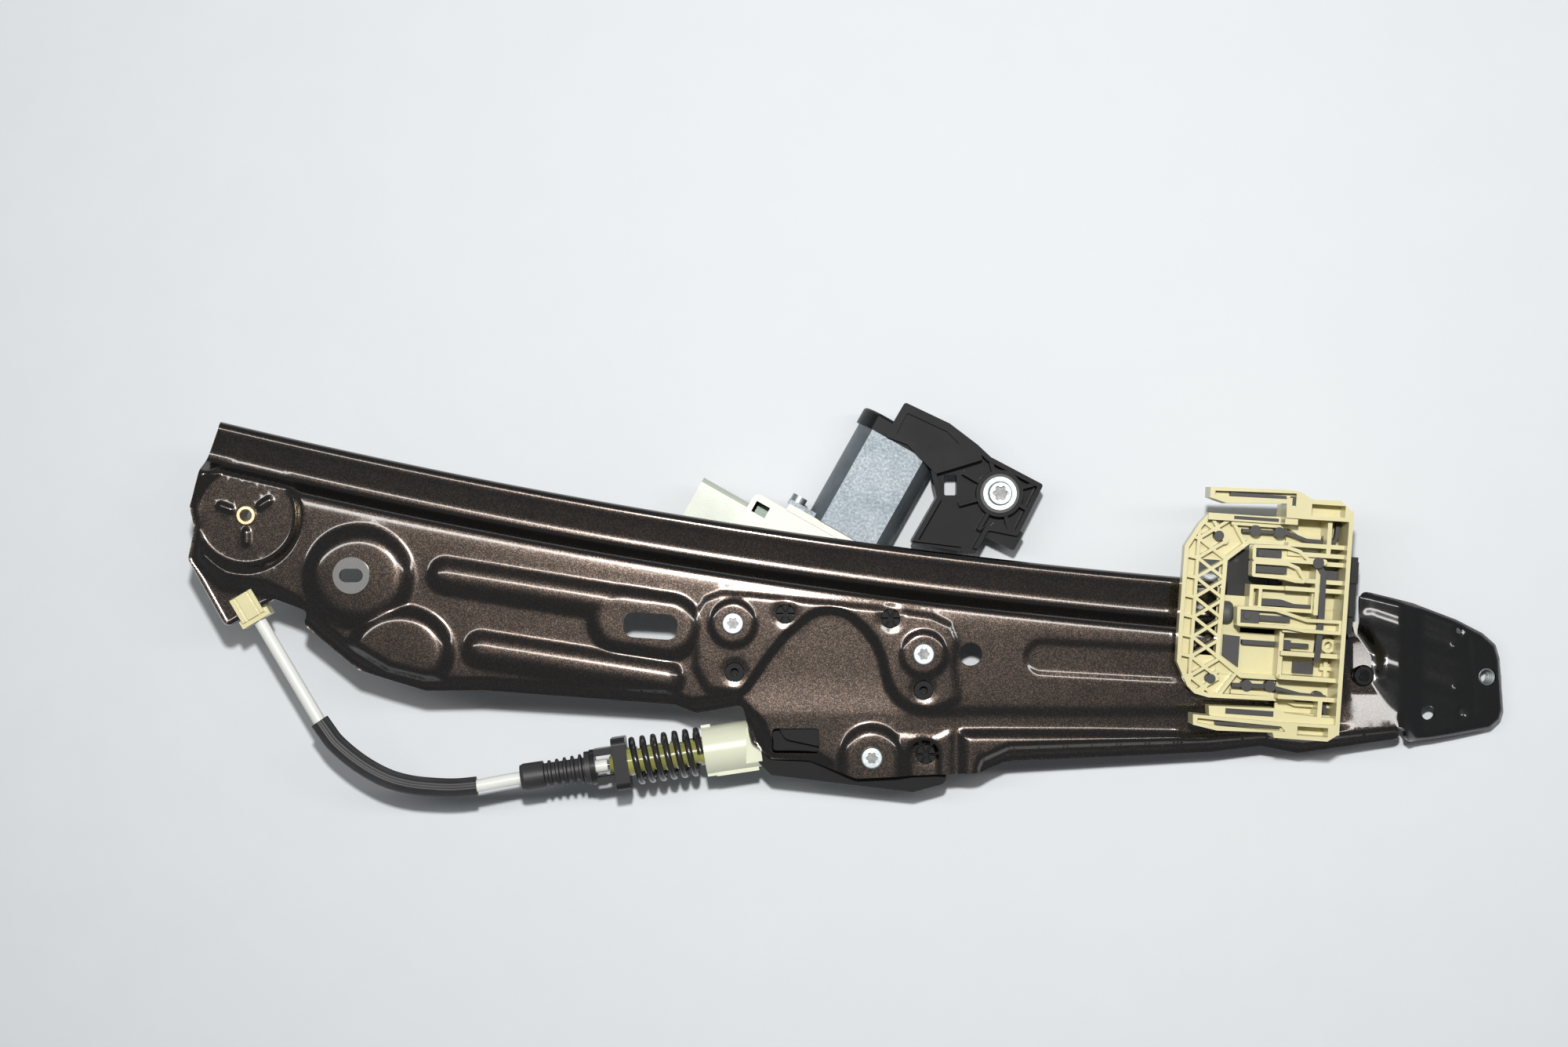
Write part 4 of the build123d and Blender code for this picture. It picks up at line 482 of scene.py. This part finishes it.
plate = {
    "node": "rail_plate", "sheet": 1.5,
    "railX": 320.0, "railY": 2748.5, "leftDeg": 13.52, "rightDeg": 3.33, "steps": 420,
    "edgeR": 2726.0, "joinR": 2729.4, "rootR": 2741.3,
    "flangeZ": -8.5, "flangeLift": 2.3, "lip": 5.0, "bend": 3.0,
    "ridgeR": 2730.2, "ridgeHalf": 1.8, "ridge": 0.12,
    # how steeply the wall between flange and field rises, by radius
    "wall": (
        (2738.2, 0.0), (2739.4, 0.008), (2740.2, 0.0265), (2742.1, 0.031), (2742.9, 0.09), (2743.6, 0.165),
        (2747.3, 0.165), (2748.4, 0.06), (2749.0, 0.0155), (2750.3, 0.0095), (2752.0, 0.004), (2755.0, 0.0)),
    "wallFoot": -1.0, "wallOver": 0.6,                # the wall's lowest head, and its reach above the field
    "corner": 3.0, "edgeStep": 1.0,
    "low": (-336.0, -56.0), "size": (523.2, 157.6), "cell": 0.4, "budget": 34000, "coarse": 8,
    "fieldBlur": 1.75, "lastBlur": 0.8,               # in cells
    "locating": (0.0, 0.0), "upper": (-305.5, 58.4), "lower": (165.3, -9.1), "bushing": (-260.0, 33.1),
    "screws": ((-100.0, 12.9), (-19.8, 0.0), (-41.6, -43.6)),
    "clips": ((-77.9, 16.8), (-33.7, 14.9), (-18.8, -42.2)), "pins": ((-99.3, -7.6), (-19.8, -15.2)),
    "locatingR": 4.9, "rivetR": 4.02, "bushingR": 6.2, "screwR": 3.1, "clipR": 4.2,
    # centre, length, width, angle and corner of the slot, the pocket and the cable fitting's window
    "windows": (((-134.6, 11.9), 22.8, 10.7, -4.0, 5.3), ((-73.6, -36.6), 20.0, 10.5, 0.0, 2.0),
                ((-305.5, 20.0), 11.6, 11.1, -59.3, 0.5)),
}
plateOutline = (
    (-324.5, 78.0), (-329.5, 62.0), (-327.5, 53.0), (-330.0, 40.0), (-313.9, 11.2), (-293.7, 23.2),
    (-279.0, 17.9), (-281.5, 12.5), (-257.9, -6.9), (-229.5, -15.6), (-205.3, -15.4), (-124.4, -21.4),
    (-115.4, -25.0), (-96.0, -21.5), (-91.7, -38.0), (-84.0, -44.5), (-67.7, -45.1), (-48.0, -52.3),
    (-9.6, -50.6), (4.0, -50.0), (14.5, -45.5), (101.5, -41.4), (122.4, -38.8), (138.3, -41.9),
    (182.0, -35.5), (174.6, -22.0), (168.6, -12.0), (169.3, -1.3), (163.0, 8.0))
plateau = (
    (-336.0, 98.0), (-323.5, 77.0), (-322.0, 62.0), (-320.0, 53.0), (-321.5, 42.0), (-313.0, 33.5),
    (-296.0, 31.0), (-283.0, 24.5), (-270.0, 12.0), (-258.0, 2.0), (-245.0, -6.0), (-230.0, -9.8),
    (-205.0, -9.8), (-128.0, -15.0), (-117.0, -18.5), (-97.0, -16.5), (-86.0, -28.0), (-82.0, -37.5),
    (-66.0, -39.5), (-57.0, -45.0), (-53.0, -62.0), (-28.0, -62.0), (-24.0, -60.0), (-2.0, -60.0),
    (4.0, -44.0), (16.0, -38.5), (100.0, -35.5), (122.0, -33.5), (140.0, -35.5), (196.0, -29.0),
    (186.0, -10.0), (180.0, 5.0), (175.0, 60.0))
drumPad = (
    (-117.5, 18.0), (-113.0, 25.0), (-105.0, 28.0), (-92.0, 27.0), (-64.0, 24.0), (-38.0, 21.4),
    (-16.0, 18.2), (-7.0, 14.0), (-3.6, 6.0), (-5.0, -4.0), (-3.0, -20.5), (-12.0, -25.0),
    (-30.0, -30.0), (-60.0, -30.0), (-92.0, -19.5), (-112.0, -17.5), (-118.0, -6.0))
drumRecess = (
    (-98.3, -17.3), (-95.0, -14.4), (-85.1, -0.3), (-78.5, 7.9), (-68.6, 16.2), (-64.5, 18.2),
    (-59.6, 18.9), (-53.8, 18.2), (-48.8, 15.8), (-43.9, 12.0), (-38.9, 6.3), (-35.6, -0.3),
    (-34.0, -6.9), (-32.3, -12.7), (-29.0, -17.7), (-24.1, -21.0), (-15.8, -22.6), (0.7, -22.0),
    (53.0, -22.4), (100.0, -22.0), (150.0, -18.0), (200.0, -14.0), (200.0, -70.0), (-98.3, -70.0))
shoulder = (
    (-6.5, -30.4), (7.0, -30.2), (53.0, -30.4), (86.0, -31.0), (94.0, -32.2), (150.0, -28.5),
    (200.0, -25.0), (200.0, -70.0), (-6.5, -70.0))
clipStep = (
    (-40.0, -33.0), (-28.0, -32.6), (-15.0, -33.6), (-10.0, -31.0), (-6.0, -31.0), (-6.0, -70.0),
    (-40.0, -70.0))
edgeBead = ((8.0, -42.4), (53.5, -40.6), (86.5, -38.6), (124.0, -35.6))
dishNotch = ((-336.0, 66.0), (-324.0, 50.0), (-330.0, 40.0), (-345.0, 52.0))

# the pressed forms: a wall rises within "over", which is a share of the size on the dome, and "blend" tells
# how softly it joins the field
forms = {
    "boss": {"centre": (-257.4, 32.5), "oval": (1.06, 0.98), "radius": 23.5, "height": 4.0, "over": 10.0,
             "crown": 0.35, "crownRadius": 14.0, "blend": 0.5},
    "dome": {"centre": (-240.0, 1.0), "half": (23.5, 20.0), "height": 4.6, "over": 0.42, "foot": 0.03,
             "blend": 2.2},
    "ribs": (
        {"start": (-221.0, 33.0), "end": (-138.0, 19.5), "half": 9.6, "height": 2.8, "over": 9.0},
        {"start": (-206.0, 2.0), "end": (-128.0, -10.4), "half": 9.8, "height": 2.8, "over": 9.0},
        {"start": (-147.0, 14.4), "end": (-127.0, 11.4), "half": 15.6, "height": 2.8, "over": 7.0}),
    "groove": {"start": (30.0, -1.4), "end": (138.0, -7.2), "half": 7.6, "height": 2.4, "over": 6.6},
    "foot": 0.15, "crest": 0.4, "blend": 0.3, "tightBlend": 0.2,
    "pad": {"height": 1.5, "over": 4.0},
    "screwBoss": {"radius": 11.2, "height": 2.6, "over": 3.0},
    # sunk seat of the drum: its wall widens to the right, and it stays clear of the screws
    "seat": {"level": -0.9, "hollow": 0.001, "middleY": 3.0, "hollowY": (-28.0, 14.0), "over": 0.9,
             "more": 3.4, "moreX": -58.0, "moreRun": 24.0, "clear": 10.6, "clearOver": 1.6},
    "lowerBoss": {"start": (-41.6, -43.6), "end": (-41.6, -62.0), "half": 16.0, "height": 2.9, "over": 7.0},
    "clipStep": {"height": 1.2, "over": 2.6},
    "shoulder": {"height": 3.0, "over": 6.4},
    "bead": {"height": 0.30, "half": 2.2},
    "gap": {"start": (-19.8, -43.0), "end": (-19.8, -60.0), "half": 7.4, "depth": 1.6, "over": 2.2},
    "dip": {"radius": 6.4, "depth": 0.4, "over": 2.4},
    "border": {"low": -5.0, "rise": 12.0, "out": 8.0, "over": 15.0, "blend": 1.4, "rim": 0.75,
               "rimWide": 2.0},
    "dish": {"floor": -4.1, "rise": 8.1, "radius": 19.5, "over": 8.0, "blend": 1.2,
             "notchRise": 3.2, "notchOver": 3.0, "notchBlend": 0.5},
    # stiffening darts round the upper rivet
    "darts": {"degrees": (33.0, 160.0, -90.0), "from": 7.0, "to": 11.5, "half": 2.1, "height": 0.9,
              "over": 1.6},
}


def toPolygon(x, y, points):
    # distance to the nearest side, positive inside
    px, py = np.array(points, float).T
    near = np.full(x.shape, np.inf)
    inside = np.zeros(x.shape, bool)
    for i in range(len(points)):
        ax, ay, bx, by = px[i - 1], py[i - 1], px[i], py[i]
        ex, ey = bx - ax, by - ay
        if ex == 0 and ey == 0:
            continue
        t = np.clip(((x - ax) * ex + (y - ay) * ey) / (ex * ex + ey * ey), 0, 1)
        near = np.minimum(near, np.hypot(x - ax - t * ex, y - ay - t * ey))
        if ey:
            inside ^= ((ay > y) != (by > y)) & (x < ex * (y - ay) / ey + ax)
    return np.where(inside, near, -near)


def toCircle(x, y, centre, radius):
    return radius - np.hypot(x - centre[0], y - centre[1])


def toOval(x, y, centre, half):
    # 1 on the oval
    return np.hypot((x - centre[0]) / half[0], (y - centre[1]) / half[1])


def toBar(x, y, start, end, half):
    ex, ey = end[0] - start[0], end[1] - start[1]
    t = np.clip(((x - start[0]) * ex + (y - start[1]) * ey) / (ex * ex + ey * ey), 0, 1)
    return half - np.hypot(x - start[0] - t * ex, y - start[1] - t * ey)


def toRun(x, y, points):
    return np.minimum.reduce([-toBar(x, y, a, b, 0.0) for a, b in zip(points, points[1:])])


def ramp(distance, width):
    t = np.clip(distance / width, 0, 1)
    return t * t * (3 - 2 * t)


def press(distance, width, foot=forms["foot"]):
    # a pressed wall: a quick bend at the foot, and a slow roll-over that starts at the share crest
    crest = forms["crest"]
    t = np.clip(distance / width, 0, 1)
    straight = t - foot / 2
    rise = np.where(t < foot, t * t / (2 * foot), straight)
    rise = np.where(t > crest, straight - (t - crest) ** 2 / (2 - 2 * crest), rise)
    return rise / ((1 + crest - foot) / 2)


def pressBar(x, y, form):
    return form["height"] * press(toBar(x, y, form["start"], form["end"], form["half"]), form["over"])


def pressShape(distance, form):
    return form["height"] * press(distance, form["over"])


def bead(distance, half):
    return np.clip(1 - (distance / half) ** 2, 0, 1) ** 2


def softMax(a, b, k):
    h = np.clip(0.5 + 0.5 * (a - b) / k, 0, 1)
    return b + (a - b) * h + k * h * (1 - h)


def softMin(a, b, k):
    return -softMax(-a, -b, k)


def blurred(z, sigma):
    reach = int(3 * sigma + 1)
    kernel = np.exp(-0.5 * (np.arange(-reach, reach + 1) / sigma) ** 2)
    kernel /= kernel.sum()
    for axis in (0, 1):
        wide = [(reach, reach) if a == axis else (0, 0) for a in (0, 1)]
        padded = np.pad(z, wide, "edge")
        size = z.shape[axis]
        z = sum(k * np.take(padded, range(i, i + size), axis) for i, k in enumerate(kernel))
    return z


def flangeHeight(r):
    lift = plate["flangeLift"] / (plate["rootR"] - plate["edgeR"])
    ridge = plate["ridge"] * bead(r - plate["ridgeR"], plate["ridgeHalf"])
    return plate["flangeZ"] + lift * (plate["rootR"] - r) + ridge


def wallShare(r):
    # 0 on the flange and 1 on the field, from the wall's steepness
    first, last = plate["wall"][0][0], plate["wall"][-1][0]
    radii = np.linspace(first, last, 400)
    share = np.cumsum(np.interp(radii, *np.array(plate["wall"]).T))
    return np.interp(r, radii, share / share[-1])


def fieldHeight(x, y):
    boss, dome, blend, tight = (forms[key] for key in ("boss", "dome", "blend", "tightBlend"))
    level = np.zeros(x.shape)
    # boss of the bushing, dome, ribs with the slot's pad, and the long groove
    away = toOval(x, y, boss["centre"], boss["oval"])
    crown = boss["crown"] * np.clip(1 - (away / boss["crownRadius"]) ** 2, 0, 1)
    level = softMax(level, pressShape(boss["radius"] - away, boss) + crown, boss["blend"])
    away = toOval(x, y, dome["centre"], dome["half"])
    level = softMax(level, dome["height"] * press(1 - away, dome["over"], dome["foot"]), dome["blend"])
    for rib in forms["ribs"]:
        level = softMax(level, pressBar(x, y, rib), blend)
    level -= pressBar(x, y, forms["groove"])
    # raised pad round the drum, its screw bosses and the sunk seat
    level = softMax(level, pressShape(toPolygon(x, y, drumPad), forms["pad"]), blend)
    screwBoss = forms["screwBoss"]
    upperScrews = plate["screws"][:2]
    for spot in upperScrews:
        level = softMax(level, pressShape(toCircle(x, y, spot, screwBoss["radius"]), screwBoss), tight)
    seat = forms["seat"]
    floor = seat["level"] + seat["hollow"] * np.clip(y - seat["middleY"], *seat["hollowY"]) ** 2
    wide = seat["over"] + seat["more"] * ramp(x - seat["moreX"], seat["moreRun"])
    near = np.minimum.reduce([np.hypot(x - sx, y - sy) for sx, sy in upperScrews])
    sunk = ramp(toPolygon(x, y, drumRecess), wide) * ramp(near - seat["clear"], seat["clearOver"])
    level += (floor - level) * sunk
    # lower boss, step with the clip, shoulder and its bead, and the gap below the clip
    level = softMax(level, seat["level"] + pressBar(x, y, forms["lowerBoss"]), blend)
    level = softMax(level, seat["level"] + pressShape(toPolygon(x, y, clipStep), forms["clipStep"]), tight)
    level = softMax(level, seat["level"] + pressShape(toPolygon(x, y, shoulder), forms["shoulder"]), blend)
    level += forms["bead"]["height"] * bead(toRun(x, y, edgeBead), forms["bead"]["half"])
    gap, dip = forms["gap"], forms["dip"]
    level -= gap["depth"] * ramp(toBar(x, y, gap["start"], gap["end"], gap["half"]), gap["over"])
    for spot in plate["clips"] + plate["pins"]:
        level -= dip["depth"] * ramp(toCircle(x, y, spot, dip["radius"]), dip["over"])
    return level


def borderHeight(x, y):
    border = forms["border"]
    height = border["low"] + border["rise"] * ramp(toPolygon(x, y, plateau) + border["out"], border["over"])
    rim = np.clip(1 - toPolygon(x, y, plateOutline) / border["rimWide"], 0, 1)
    return height + border["rim"] * rim ** 2


def dishHeight(x, y):
    dish, darts = forms["dish"], forms["darts"]
    cx, cy = plate["upper"]
    height = dish["floor"] + dish["rise"] * ramp(np.hypot(x - cx, y - cy) - dish["radius"], dish["over"])
    notch = dish["floor"] + dish["notchRise"] * ramp(toPolygon(x, y, dishNotch), dish["notchOver"])
    height = softMax(height, notch, dish["notchBlend"])
    for degrees in darts["degrees"]:
        a = math.radians(degrees)
        start, end = ((cx + r * math.cos(a), cy + r * math.sin(a)) for r in (darts["from"], darts["to"]))
        height += darts["height"] * ramp(toBar(x, y, start, end, darts["half"]), darts["over"])
    return height


def plateRelief(x, y):
    level = blurred(fieldHeight(x, y), plate["fieldBlur"])
    # the right end leans with the bracket, the border drops and the dish is sunk
    level += (jointLean(x, y) - level) * ramp(x - endPlate["leanX"], endPlate["leanRun"])
    level = softMin(level, borderHeight(x, y), forms["border"]["blend"])
    level = softMin(level, dishHeight(x, y), forms["dish"]["blend"])
    r = np.hypot(x - plate["railX"], y - plate["railY"])
    share = wallShare(r)
    walled = flangeHeight(r) * (1 - share) + np.maximum(level, plate["wallFoot"]) * share
    return blurred(softMin(walled, level + plate["wallOver"], plate["wallOver"]), plate["lastBlur"])


def roundCorners(points, radius, closed=True):
    made = []
    n = len(points)
    pieces = 6
    for i in range(n):
        a, b, c = (Vector(points[(i + k) % n]) for k in (-1, 0, 1))
        if not closed and i in (0, n - 1):
            made.append(tuple(b))
            continue
        inRun, outRun = a - b, c - b
        longest = 0.45 * min(inRun.length, outRun.length)
        cut = min(radius / math.tan(inRun.angle(outRun) / 2), longest)
        start, end = b + inRun.normalized() * cut, b + outRun.normalized() * cut
        for k in range(pieces + 1):
            t = k / pieces
            made.append(tuple(start * (1 - t) ** 2 + b * 2 * t * (1 - t) + end * t ** 2))
    return made


def evenly(points, gap, closed=True):
    made = []
    ends = points[1:] + points[:1] if closed else points[1:]
    for start, end in zip(points, ends):
        a, b = Vector(start), Vector(end)
        if (b - a).length < gap / 20:
            continue
        count = max(1, round((b - a).length / gap))
        made += [tuple(a.lerp(b, k / count)) for k in range(count)]
    if not closed:
        made.append(tuple(points[-1]))
    return made


def railSpot(radius, degrees):
    a = math.radians(degrees)
    return (plate["railX"] - radius * math.sin(a), plate["railY"] - radius * math.cos(a))


def ringPoints(centre, radius):
    count = 4 * round(4 + radius)
    turns = [2 * math.pi * i / count for i in range(count)]
    return [(centre[0] + radius * math.cos(a), centre[1] + radius * math.sin(a)) for a in turns]


def windowPoints(centre, long, wide, degrees, corner):
    a = math.radians(degrees)
    along = Vector((math.cos(a), math.sin(a))) * long / 2
    across = Vector((-math.sin(a), math.cos(a))) * wide / 2
    signs = ((-1, -1), (1, -1), (1, 1), (-1, 1))
    corners = [tuple(Vector(centre) + along * u + across * v) for u, v in signs]
    return evenly(roundCorners(corners, corner), plate["edgeStep"])


def reliefGrid(spec, relief):
    lines = [low + spec["cell"] * np.arange(int(size / spec["cell"]) + 1)
             for low, size in zip(spec["low"], spec["size"])]
    gx, gy = np.meshgrid(*lines, indexing="ij")
    return gx, gy, relief(gx, gy)


def lookUp(spec, z, x, y):
    u, v = ((np.asarray(value) - low) / spec["cell"] for value, low in zip((x, y), spec["low"]))
    i, j = u.astype(int), v.astype(int)
    u, v = u - i, v - j
    return (z[i, j] * (1 - u) * (1 - v) + z[i + 1, j] * u * (1 - v) + z[i, j + 1] * (1 - u) * v
            + z[i + 1, j + 1] * u * v)


sheetRules = {
    "margin": 1.2,                      # cells between the outline and the nearest point of the grid
    "near": 8,                          # cells from the outline within which every point of it counts
    "middle": 4, "middleShare": 0.25,   # a middle grid where the form bends a little
    "merge": 0.05,
}


def sheetPoints(spec, grid, loops):
    # points crowd where the form bends, and lie on the relief's own grid
    gx, gy, z = grid
    bend = np.zeros(z.shape)
    bend[2:-2, 2:-2] = np.abs(z[4:, 2:-2] + z[:-4, 2:-2] + z[2:-2, 4:] + z[2:-2, :-4] - 4 * z[2:-2, 2:-2])
    i, j = np.indices(z.shape)
    staggered = (i % 2 == 0) & ((j + (i // 2 % 2)) % 2 == 0)
    i, j, x, y, bend = (values[staggered] for values in (i, j, gx, gy, bend))
    # every third point of the outline is enough away from it
    depth = toPolygon(x, y, loops[0][::3])
    near = depth < sheetRules["near"] * spec["cell"]
    depth[near] = toPolygon(x[near], y[near], loops[0])
    inside = depth > sheetRules["margin"] * spec["cell"]
    for loop in loops[1:]:
        inside &= toPolygon(x, y, loop) < -spec["cell"]
    count = min(spec["budget"], int(inside.sum()))
    limit = np.partition(bend[inside], -count)[-count]
    keep = bend >= limit
    for step, share in ((spec["coarse"], 0.0), (sheetRules["middle"], sheetRules["middleShare"])):
        keep |= (bend >= limit * share) & (i % step == 0) & (j % step == 0)
    return list(zip(x[keep & inside].tolist(), y[keep & inside].tolist()))


def sheetMesh(spec, grid, loops):
    points, edges = [], []
    for loop in loops:
        first = len(points)
        points += loop
        edges += [(first + k, first + (k + 1) % len(loop)) for k in range(len(loop))]
    points += sheetPoints(spec, grid, loops)
    flat, _, faces, _, _, _ = delaunay_2d_cdt([Vector(p) for p in points], edges, [], 1, 1e-4)
    x, y = np.array([tuple(p) for p in flat]).T
    corners = np.array([tuple(face) for face in faces])
    solid = np.ones(len(faces), bool)
    for loop in loops[1:]:
        solid &= toPolygon(x[corners].mean(1), y[corners].mean(1), loop) < 0
    mesh = bmesh.new()
    places = np.stack((x, y, lookUp(spec, grid[2], x, y)), axis=1) * mm
    made = [mesh.verts.new(place) for place in places.tolist()]
    for face in corners[solid].tolist():
        mesh.faces.new([made[k] for k in face])
    return mesh


def finishSheet(name, spec, mesh, look):
    bmesh.ops.remove_doubles(mesh, verts=mesh.verts, dist=sheetRules["merge"] * mm)
    mesh.normal_update()
    bmesh.ops.reverse_faces(mesh, faces=[face for face in mesh.faces if face.normal.z < -0.05])
    for edge in mesh.edges:
        edge.smooth = not edge.is_boundary
    data = bpy.data.meshes.new(name)
    mesh.to_mesh(data)
    mesh.free()
    data.shade_smooth()
    data.materials.append(look)
    piece = bpy.data.objects.new(name, data)
    bpy.context.collection.objects.link(piece)
    wall = piece.modifiers.new("sheet", "SOLIDIFY")
    wall.thickness = spec["sheet"] * mm
    wall.offset = -1
    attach(piece, "base")
    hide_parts(spec["node"])
    print(name, "faces", len(data.polygons))


def plateLoops(degrees):
    # the outline first, then every hole
    join = [railSpot(plate["joinR"], deg) for deg in reversed(degrees)]
    side = roundCorners([join[-1], *plateOutline, join[0]], plate["corner"], closed=False)
    loops = [join + evenly(side, plate["edgeStep"], closed=False)[1:-1]]
    loops.append(ringPoints(plate["locating"], plate["locatingR"]))
    loops += [ringPoints(spot, plate["screwR"]) for spot in plate["screws"]]
    loops += [ringPoints(spot, plate["clipR"]) for spot in plate["clips"] + plate["pins"]]
    loops += [ringPoints(plate[end], plate["rivetR"]) for end in ("upper", "lower")]
    loops.append(ringPoints(plate["bushing"], plate["bushingR"]))
    loops += [windowPoints(*window) for window in plate["windows"]]
    return loops


def rollLip(mesh, degrees, heights):
    # from the join outwards over the flange, round the bend and down
    corner = plate["edgeR"] + plate["bend"]
    section = [(plate["joinR"], 0.0)]
    for turn in range(10, 100, 10):
        a = math.radians(turn)
        section.append((corner - plate["bend"] * math.sin(a), -plate["bend"] * (1 - math.cos(a))))
    section.append((plate["edgeR"], -plate["lip"]))
    lean = plate["flangeLift"] / (plate["rootR"] - plate["edgeR"])
    rows = []
    for r, drop in section:
        rise = lean * (plate["joinR"] - max(r, corner)) + drop
        places = [Vector((*railSpot(r, deg), z + rise)) * mm for deg, z in zip(degrees, heights)]
        rows.append([mesh.verts.new(place) for place in places])
    for a, b in zip(rows, rows[1:]):
        for k in range(plate["steps"]):
            mesh.faces.new((a[k], a[k + 1], b[k + 1], b[k]))


def makePlate():
    degrees = np.linspace(plate["leftDeg"], plate["rightDeg"], plate["steps"] + 1).tolist()
    grid = reliefGrid(plate, plateRelief)
    mesh = sheetMesh(plate, grid, plateLoops(degrees))
    join = np.array([railSpot(plate["joinR"], deg) for deg in degrees])
    rollLip(mesh, degrees, lookUp(plate, grid[2], *join.T).tolist())
    finishSheet("pressedPlate", plate, mesh, looks["coated_steel"])


# end bracket, a smooth pressed sheet under the plate's right end

endPlate = {
    "node": "end_bracket", "sheet": 2.0,
    "low": (144.0, -46.0), "size": (86.4, 78.0), "cell": 0.4, "budget": 9000, "coarse": 6,
    "corner": 4.0, "edgeStep": 0.8, "firstBlur": 4.0, "lastBlur": 0.7,       # blurs in cells
    # height of the sheet along x
    "profile": ((145.0, -1.7), (182.0, -1.7), (190.0, -5.6), (207.0, -7.5), (220.0, -10.3), (232.0, -12.86)),
    "nut": (220.1, -10.2), "hole": (194.0, -25.1), "dimples": ((207.6, 9.6), (208.9, -25.1)),
    "nutR": 3.9, "holeR": 3.0, "pinR": 1.3, "dimpleR": 3.4, "dimple": 0.5,
    "lean": -0.134, "leanX": 150.0, "leanY": -24.0, "leanRun": 12.0,         # the joined ends tilt together
    "under": 0.2, "underOut": 7.0, "underRun": 6.0,   # under the plate the sheet follows the plate's lean
    "rim": 3.4, "rimDrop": 2.6, "knob": 0.5, "knobR": 2.2,
}
endOutline = (
    (150.0, -2.0), (160.5, 1.0), (164.0, 7.0), (164.0, 27.0), (187.8, 21.2), (206.6, 14.2),
    (218.5, 8.3), (224.4, 3.3), (226.2, -2.6), (227.8, -24.4), (226.4, -28.8), (222.0, -32.4),
    (196.7, -36.3), (184.0, -37.6), (183.5, -31.0), (150.0, -29.0))
# the edge that is rolled down: all but the side under the plate
endFree = ((120.0, -2.0), (140.0, 40.0), (164.0, 27.0), *endOutline[4:14], (150.0, -60.0), (120.0, -60.0))
# start, end, height and half width
endRidges = (
    ((168.6, 14.9), (205.3, 2.6), 0.52, 5.4), ((171.0, -4.3), (206.0, -15.2), 0.40, 4.8),
    ((167.2, 24.0), (168.6, 8.0), -0.25, 3.0), ((211.5, 6.0), (214.5, -24.8), -0.22, 2.0))


def jointLean(x, y):
    return endPlate["lean"] * (y - endPlate["leanY"]) * ramp(x - endPlate["leanX"], endPlate["leanRun"])


def endRelief(x, y):
    level = blurred(np.interp(x, *np.array(endPlate["profile"]).T), endPlate["firstBlur"])
    joined = ramp(toPolygon(x, y, plateOutline) + endPlate["underOut"], endPlate["underRun"])
    level += (jointLean(x, y) + endPlate["under"]) * joined
    for start, end, height, half in endRidges:
        level += height * bead(-toBar(x, y, start, end, 0.0), half)
        if height > 0:
            level += endPlate["knob"] * bead(toCircle(x, y, end, 0.0), endPlate["knobR"])
    for spot in endPlate["dimples"]:
        level -= endPlate["dimple"] * bead(toCircle(x, y, spot, 0.0), endPlate["dimpleR"])
    away = np.clip(1 - toPolygon(x, y, endFree) / endPlate["rim"], 0, 1)
    level -= endPlate["rimDrop"] * (1 - np.sqrt(1 - away ** 2))
    return blurred(level, endPlate["lastBlur"])


def makeEndPlate():
    loops = [evenly(roundCorners(endOutline, endPlate["corner"]), endPlate["edgeStep"])]
    loops.append(ringPoints(plate["lower"], plate["rivetR"]))
    loops.append(ringPoints(endPlate["nut"], endPlate["nutR"]))
    loops.append(ringPoints(endPlate["hole"], endPlate["holeR"]))
    loops += [ringPoints(spot, endPlate["pinR"]) for spot in endPlate["dimples"]]
    mesh = sheetMesh(endPlate, reliefGrid(endPlate, endRelief), loops)
    finishSheet("endPlate", endPlate, mesh, looks["black_gloss"])


placeCamera()
layFloor(floorLook)
lightRoom()
print("camera, floor and lamps placed")
dressNodes()
print("nodes dressed")
makePlate()
makeEndPlate()
print("sheets made")
makeSleeve()
makeThread()
makeSockets()
print("sleeve, thread and sockets made")
